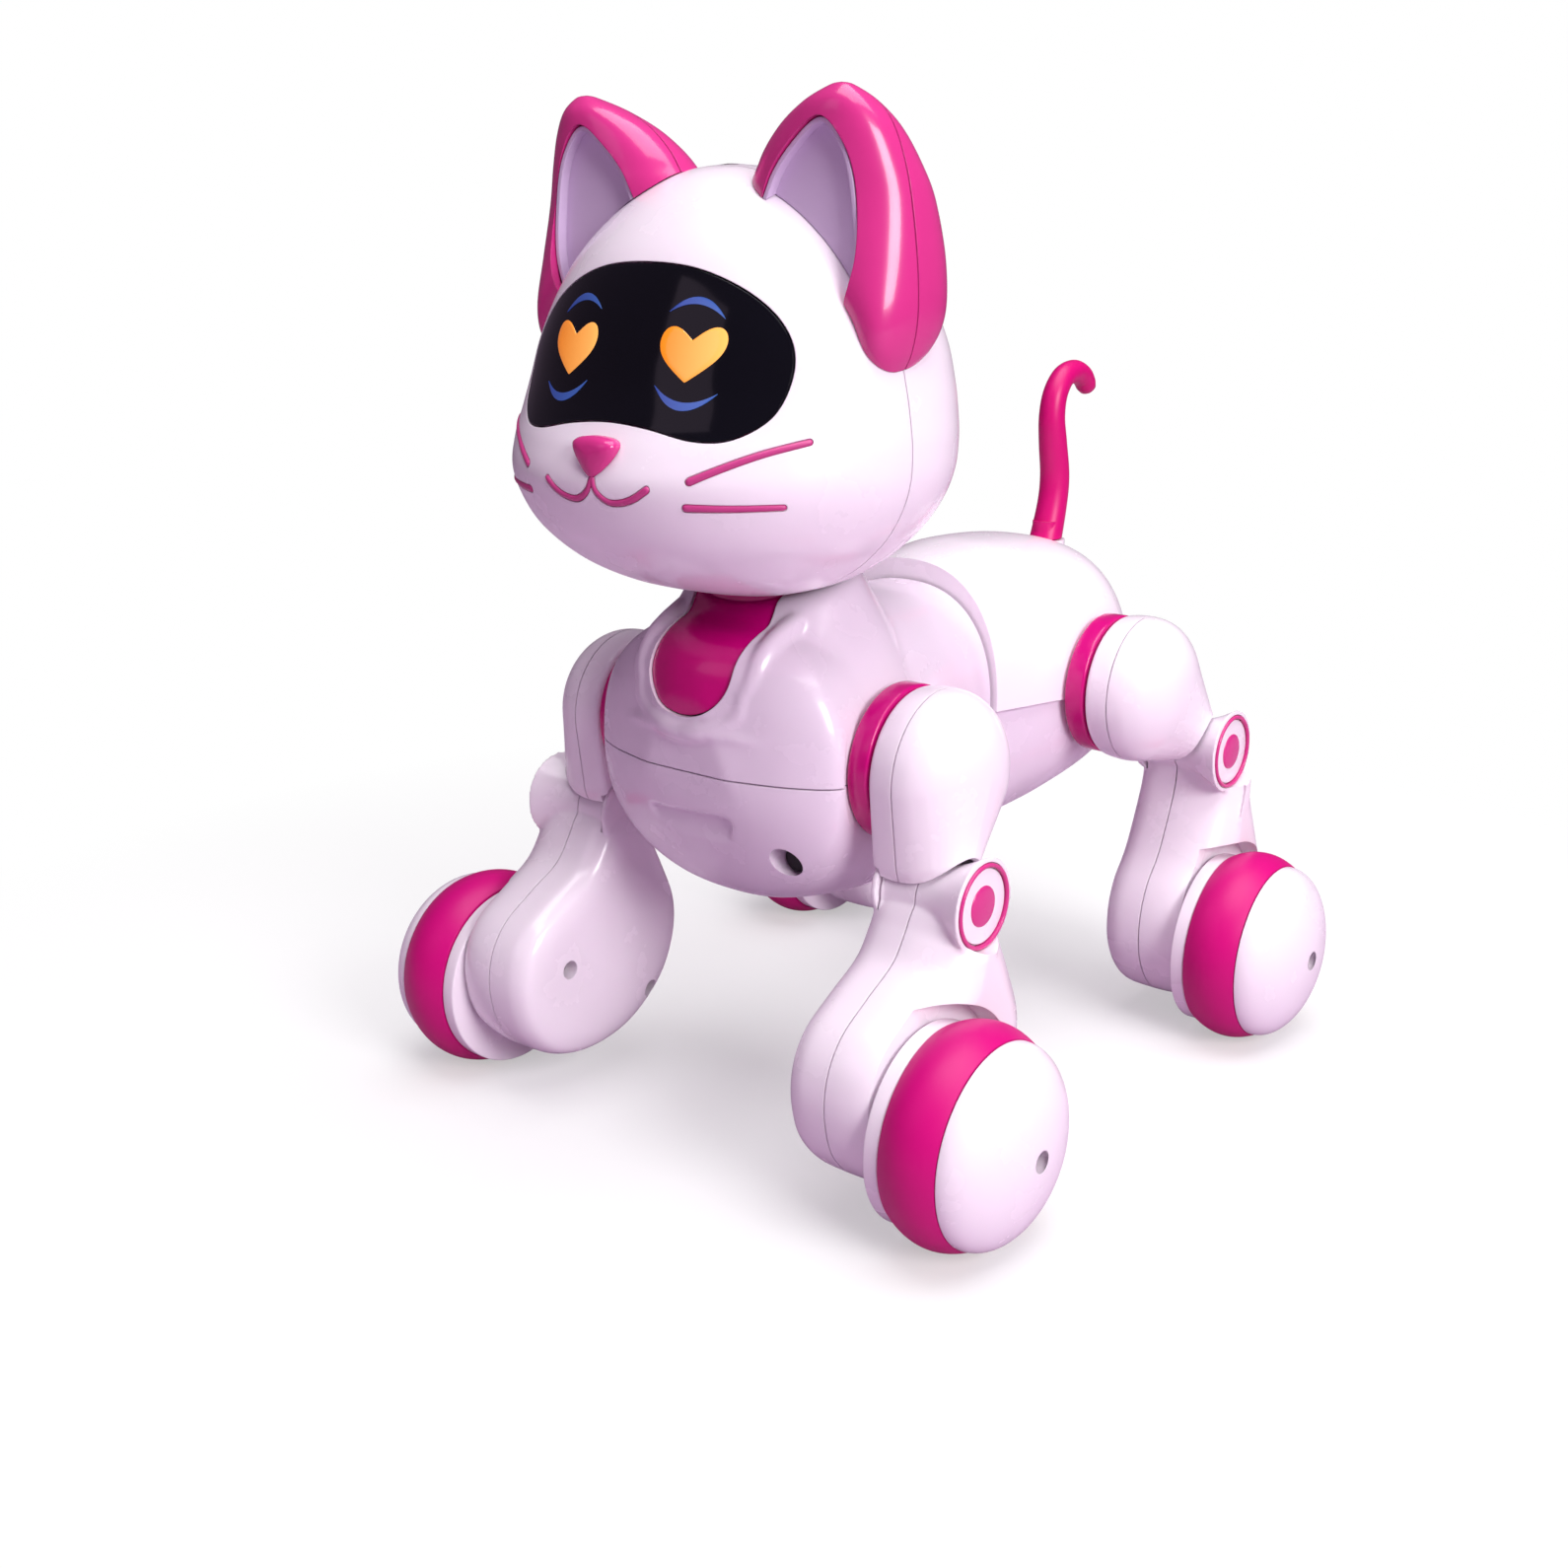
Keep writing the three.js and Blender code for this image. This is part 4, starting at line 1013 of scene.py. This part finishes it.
def make_upper_leg(end, hip, knee):
    """The hip ring, and the two shells that hold the tongue the knee turns on."""
    ring = turned("hip_band", rounded(groove(37.6, 43.2, 5.3, 19.4), 0.7), hip, 128)
    pod = loft("pod", pod_rings(end, 128, 8))
    combine(pod, "DIFFERENCE", turned("tool", spool_profile(1.1), knee))
    inner_pod = part_between(pod, "upper_shell_inner", x=(0, UPPER_SEAM_X - GAP / 2))
    outer_pod = part_between(pod, "upper_shell_outer", x=(UPPER_SEAM_X + GAP / 2, FAR))
    remove(pod)
    combine(inner_pod, "UNION", bar("x", 15, 50, hip, 5))
    tongue = strut(TONGUE, knee, hip, 6)
    combine(tongue, "UNION", bar("x", *TONGUE, knee, 4.7))
    combine(tongue, "DIFFERENCE", bar("x", 40, 60, knee, 2.5))
    hollow = loft("tool", pod_rings(end, 64, 4, shrink=1.6))
    combine(outer_pod, "DIFFERENCE", hollow)
    combine(inner_pod, "UNION", tongue)
    return [(ring, MAGENTA, "upper_leg_", ["hip_ring_"]),
            (inner_pod, PEARL, "upper_leg_", ["upper_inner_"]),
            (outer_pod, PEARL, "upper_leg_", ["upper_outer_"])]


def make_lower_leg(end, hip, knee, wheel):
    """The two shin shells with the knee's barrel, the slot in it and the wheel's arch, and their screws."""
    shin = loft("shin", leg_rings(end, 144, 6))
    combine(shin, "UNION", turned("tool", rounded(spool_profile(0), 0.3, 3), knee))
    fused(shin, 0.55, 5)
    combine(shin, "DIFFERENCE", bar("x", ARCH["from"], 100, wheel, ARCH["radius"], 128))
    combine(shin, "DIFFERENCE", bar("x", *KNEE_SLOT, knee, 5.2), knee_fan(knee, hip),
            bar("x", 48.4, 75, wheel, 2.9), turned("tool", groove(45.3, 45.9, 6.4, 9.4), knee))
    inner_shin = part_between(shin, "lower_shell_inner", x=(0, LOWER_SEAM_X - GAP / 2))
    outer_shin = part_between(shin, "lower_shell_outer", x=(LOWER_SEAM_X + GAP / 2, FAR))
    remove(shin)
    made = []
    for index, hole in enumerate(LEG_SCREWS[end]):
        combine(inner_shin, "DIFFERENCE", bar("x", 30, 49.5, hole, 2.5))
        made.append((screw(f"shin_screw_{index}", 46.2, hole, 2.2, -1), SHADED_SCREW_STEEL, "lower_leg_", []))
    combine(outer_shin, "DIFFERENCE", bar("x", 68.6, 80, knee, 10.6, 96), bar("x", 66, 80, knee, 3.3))
    combine(outer_shin, "UNION", bar("x", 51, 58.5, knee, 2.2))
    return made + [(inner_shin, PEARL, "lower_leg_", ["lower_inner_"]),
                   (outer_shin, PEARL, "lower_leg_", ["lower_outer_"])]


def make_leg(end):
    """A left leg from hip to wheel, and its mirror image on the right."""
    hip, knee, wheel = [joint_place(f"{name}_{end}_left") for name in ("hip", "knee", "wheel_spin")]
    made = make_upper_leg(end, hip, knee) + make_lower_leg(end, hip, knee, wheel)
    made += knee_cap(knee) + make_wheel(wheel)
    for piece, look, body, nodes in made:
        stem = piece.name.split(".")[0]
        piece.name = f"{stem}_{end}_left"
        twin = mirrored(piece, f"{stem}_{end}_right")
        for side, obj in (("left", piece), ("right", twin)):
            finish(obj, look, f"{body}{end}_{side}", *[f"{node}{end}_{side}" for node in nodes])


def groove(start, end, inner, outer):
    """The square profile of a ring along x."""
    return [(start, inner), (start, outer), (end, outer), (end, inner)]


def strut(span, start, end, width):
    """A flat bar of even width between two points in y and z."""
    start, end = np.array(start), np.array(end)
    along = (end - start) / np.linalg.norm(end - start)
    side = np.array([-along[1], along[0]]) * width / 2
    return prism([start - side, end - side, end + side, start + side], "x", *span)


def knee_fan(knee, hip):
    """The room the tongue needs to swing through the top of the knee barrel."""
    toward = math.atan2(hip[1] - knee[1], hip[0] - knee[0])
    reach, half = KNEE_FAN["reach"], KNEE_FAN["half_angle"]
    fan = [(knee[0] + reach * math.cos(toward + a), knee[1] + reach * math.sin(toward + a))
           for a in np.radians(np.linspace(-half, half, 13))]
    return prism([knee] + fan, "x", *KNEE_SLOT)


def screw(name, x, centre, radius, facing):
    """A sunk cross-head screw whose head faces along x."""
    back = x - facing * 1.6
    profile = rounded([(back, 0.01), (back, radius), (x, radius), (x + facing * 0.25, 0.01)], 0.3, 3)
    head = turned(name, profile, centre, 40)
    y, z = centre
    deep, proud = x - facing * 0.8, x + facing * 2
    for half_y, half_z in ((1.4, 0.35), (0.35, 1.4)):
        low = (min(deep, proud), y - half_y, z - half_z)
        high = (max(deep, proud), y + half_y, z + half_z)
        combine(head, "DIFFERENCE", box(low, high))
    return head


def knee_cap(knee):
    """The trumpet's pink rim, the pale disc in it and the pink button in the middle."""
    ring = turned("knee_rim", rounded(groove(69, 70.5, 9.4, 10.4), 0.4), knee, 96)
    dish = [(67.2, 0.02), (67.2, 3), (68.9, 3), (68.9, 9.1), (69.8, 9.1), (69.5, 0.02)]
    disc = turned("knee_disc", rounded(dish, 0.2, 3), knee, 96)
    dome = [(69.7 + 0.75 * math.cos(a), 5 * math.sin(a)) for a in np.linspace(0.02, math.pi / 2, 10)]
    button = turned("knee_button", dome + [(69.55, 5), (69.55, 0.02)], knee, 64)
    return [(ring, PINK, "lower_leg_", ["knee_cap_"]), (disc, PEARL, "lower_leg_", []),
            (button, PINK, "lower_leg_", [])]


def make_wheel(wheel):
    """The hub with its axle, the crowned tyre, the dome over them and the screw sunk in its pole."""
    low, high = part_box("wheel_tyre_front_left")
    inside, outside = low.x / MM, high.x / MM
    radius = (high.z - low.z) / 2 / MM
    axle_and_disc = [(48.8, 0.02), (48.8, 2.5), (68, 2.5), (68, 24.4), (inside - 0.3, 24.4),
                     (inside - 0.3, 20), (outside - 0.3, 20), (outside - 0.3, 0.02)]
    hub = turned("hub", rounded(axle_and_disc, 0.5), wheel, 128)
    crown = [(inside + (outside - inside) * s, radius - 2.3 * (2 * s - 1) ** 2)
             for s in np.linspace(0, 1, 17)]
    tyre = turned("tyre", [(inside, 20.3)] + crown + [(outside, 20.3)], wheel, 160)
    base, pole = outside + 0.3, 99.8
    outer = [(base + (pole - base) * math.sin(a), 24.5 * math.cos(a))
             for a in np.linspace(0, 1.466, 28)]
    hole = [(pole - 0.6, 3.3), (95, 3.1), (95, 5.5)]
    inner = [(base + (pole - base - WALL) * math.sin(a), 22.3 * math.cos(a))
             for a in np.linspace(1.2, 0, 12)]
    dome = turned("dome", outer + hole + inner, wheel, 160)
    head = screw("dome_screw", 95.6, wheel, 2.9, 1)
    return [(hub, PEARL, "wheel_", ["wheel_hub_"]), (tyre, TYRE, "wheel_", ["wheel_tyre_"]),
            (dome, PEARL, "wheel_", ["wheel_dome_"]), (head, SHADED_SCREW_STEEL, "wheel_", [])]


# ---- carried-over pieces ----
def dress_inside():
    """The plain CAD pieces that stay as they are get their materials and softened edges."""
    # The battery door takes the darker pearl, which is painted shade.
    looks = {"battery_pack": BATTERY, "main_board": BOARD, "speaker": HOUSING, "power_switch": HOUSING,
             "front_hip_gearbox": HOUSING, "rear_hip_gearbox": HOUSING, "eye_display": HOUSING,
             "battery_door": SHADED_PEARL}
    for name, look in looks.items():
        node = frame["nodes"][name]
        node.data.materials.clear()
        node.data.materials.append(look)
        soften = node.modifiers.new("edges", "BEVEL")
        soften.width = 0.4 * MM
        soften.segments = 3
        soften.limit_method = "ANGLE"


# ---- studio ----
FLOOR_HALF = 4  # metres
FLOOR = {"unseen": (0.50, 0.36, 0.50), "seen": (0.97, 0.965, 0.97)}
FLOOR_FADE = (0.12, 0.34)  # metres from the middle
FLOOR_FADE_LEAST = 0.45
SKY = {"unseen": (0.13, 0.092, 0.135), "seen": (1, 1, 1)}
CAMERA = {"azimuth": 38.415, "elevation": 16.944, "place": (282.4, -388, 228.1), "lens": 41.77,
          "shift": (-0.0129, -0.0096)}


def tint_by_view(nodes, links, colours):
    """One colour for the camera and another for the light that bounces."""
    ray = nodes.new("ShaderNodeLightPath")
    tint = colour_mix(nodes, {"A": colours["unseen"], "B": colours["seen"]})
    links.new(ray.outputs["Is Camera Ray"], tint.inputs["Factor"])
    return ray, tint


def make_stage():
    half = FLOOR_HALF
    mesh = bpy.data.meshes.new("floor")
    corners = [(-half, -half, 0), (half, -half, 0), (half, half, 0), (-half, half, 0)]
    mesh.from_pydata(corners, [], [(0, 1, 2, 3)])
    floor = linked("floor", mesh)
    made, nodes, links, shader = blank_material("floor_paper")
    ray, tint = tint_by_view(nodes, links, FLOOR)
    links.new(tint.outputs["Result"], shader.inputs["Base Color"])
    set_inputs(shader, {"Roughness": 0.9, "Specular IOR Level": 0.1})
    # Further out the paper runs into the white background.
    place = nodes.new("ShaderNodeTexCoord")
    away = nodes.new("ShaderNodeVectorMath")
    away.operation = "LENGTH"
    links.new(place.outputs["Object"], away.inputs[0])
    fade = nodes.new("ShaderNodeMapRange")
    start, end = FLOOR_FADE
    set_inputs(fade, {"From Min": start, "From Max": end, "To Min": FLOOR_FADE_LEAST})
    links.new(away.outputs["Value"], fade.inputs["Value"])
    seen = nodes.new("ShaderNodeMath")
    seen.operation = "MULTIPLY"
    links.new(fade.outputs["Result"], seen.inputs[0])
    links.new(ray.outputs["Is Camera Ray"], seen.inputs[1])
    white = nodes.new("ShaderNodeEmission")
    mixed = nodes.new("ShaderNodeMixShader")
    links.new(seen.outputs[0], mixed.inputs["Fac"])
    links.new(shader.outputs["BSDF"], mixed.inputs[1])
    links.new(white.outputs["Emission"], mixed.inputs[2])
    links.new(mixed.outputs["Shader"], nodes["Material Output"].inputs["Surface"])
    floor.data.materials.append(made)


def make_world():
    world = bpy.data.worlds.new("studio")
    bpy.context.scene.world = world
    world.use_nodes = True
    nodes, links = world.node_tree.nodes, world.node_tree.links
    background = nodes["Background"]
    _, tint = tint_by_view(nodes, links, SKY)
    links.new(tint.outputs["Result"], background.inputs["Color"])
    background.inputs["Strength"].default_value = 1


def area_light(name, place, aim, size, power_watts, colour=(1, 1, 1)):
    light = bpy.data.lights.new(name, "AREA")
    light.shape = "RECTANGLE"
    light.size, light.size_y = size
    light.energy = power_watts
    light.color = colour
    obj = linked(name, light)
    obj.location = place
    obj.rotation_euler = (Vector(aim) - Vector(place)).to_track_quat("-Z", "Y").to_euler()


def make_lights():
    middle = (0, 0, 0.12)
    area_light("overhead", (0.2, -0.05, 1.3), middle, (1.1, 1.1), 16.5)
    area_light("key", (1.3, -0.4, 0.75), middle, (0.6, 0.6), 17, (1, 0.99, 0.99))
    area_light("front_fill", (-0.5, -1.4, 1.0), middle, (0.7, 0.7), 1.2, (0.95, 0.74, 0.95))


def make_camera():
    azimuth, elevation = math.radians(CAMERA["azimuth"]), math.radians(CAMERA["elevation"])
    away = Vector((math.sin(azimuth) * math.cos(elevation), -math.cos(azimuth) * math.cos(elevation),
                   math.sin(elevation)))
    right = Vector((math.cos(azimuth), math.sin(azimuth), 0))
    placed = Matrix((right, away.cross(right), away)).transposed().to_4x4()
    placed.translation = Vector(CAMERA["place"]) * MM
    camera = bpy.data.cameras.new("camera")
    camera.lens = CAMERA["lens"]
    camera.sensor_width = 36
    camera.shift_x, camera.shift_y = CAMERA["shift"]
    camera.clip_start = 0.01
    obj = linked("camera", camera)
    obj.matrix_world = placed
    bpy.context.scene.camera = obj


def main():
    make_head()
    make_torso()
    make_neck_and_tail()
    for end in ("front", "rear"):
        make_leg(end)
    dress_inside()
    make_stage()
    make_world()
    make_lights()
    make_camera()
    bpy.context.scene.view_settings.view_transform = "Standard"


main()
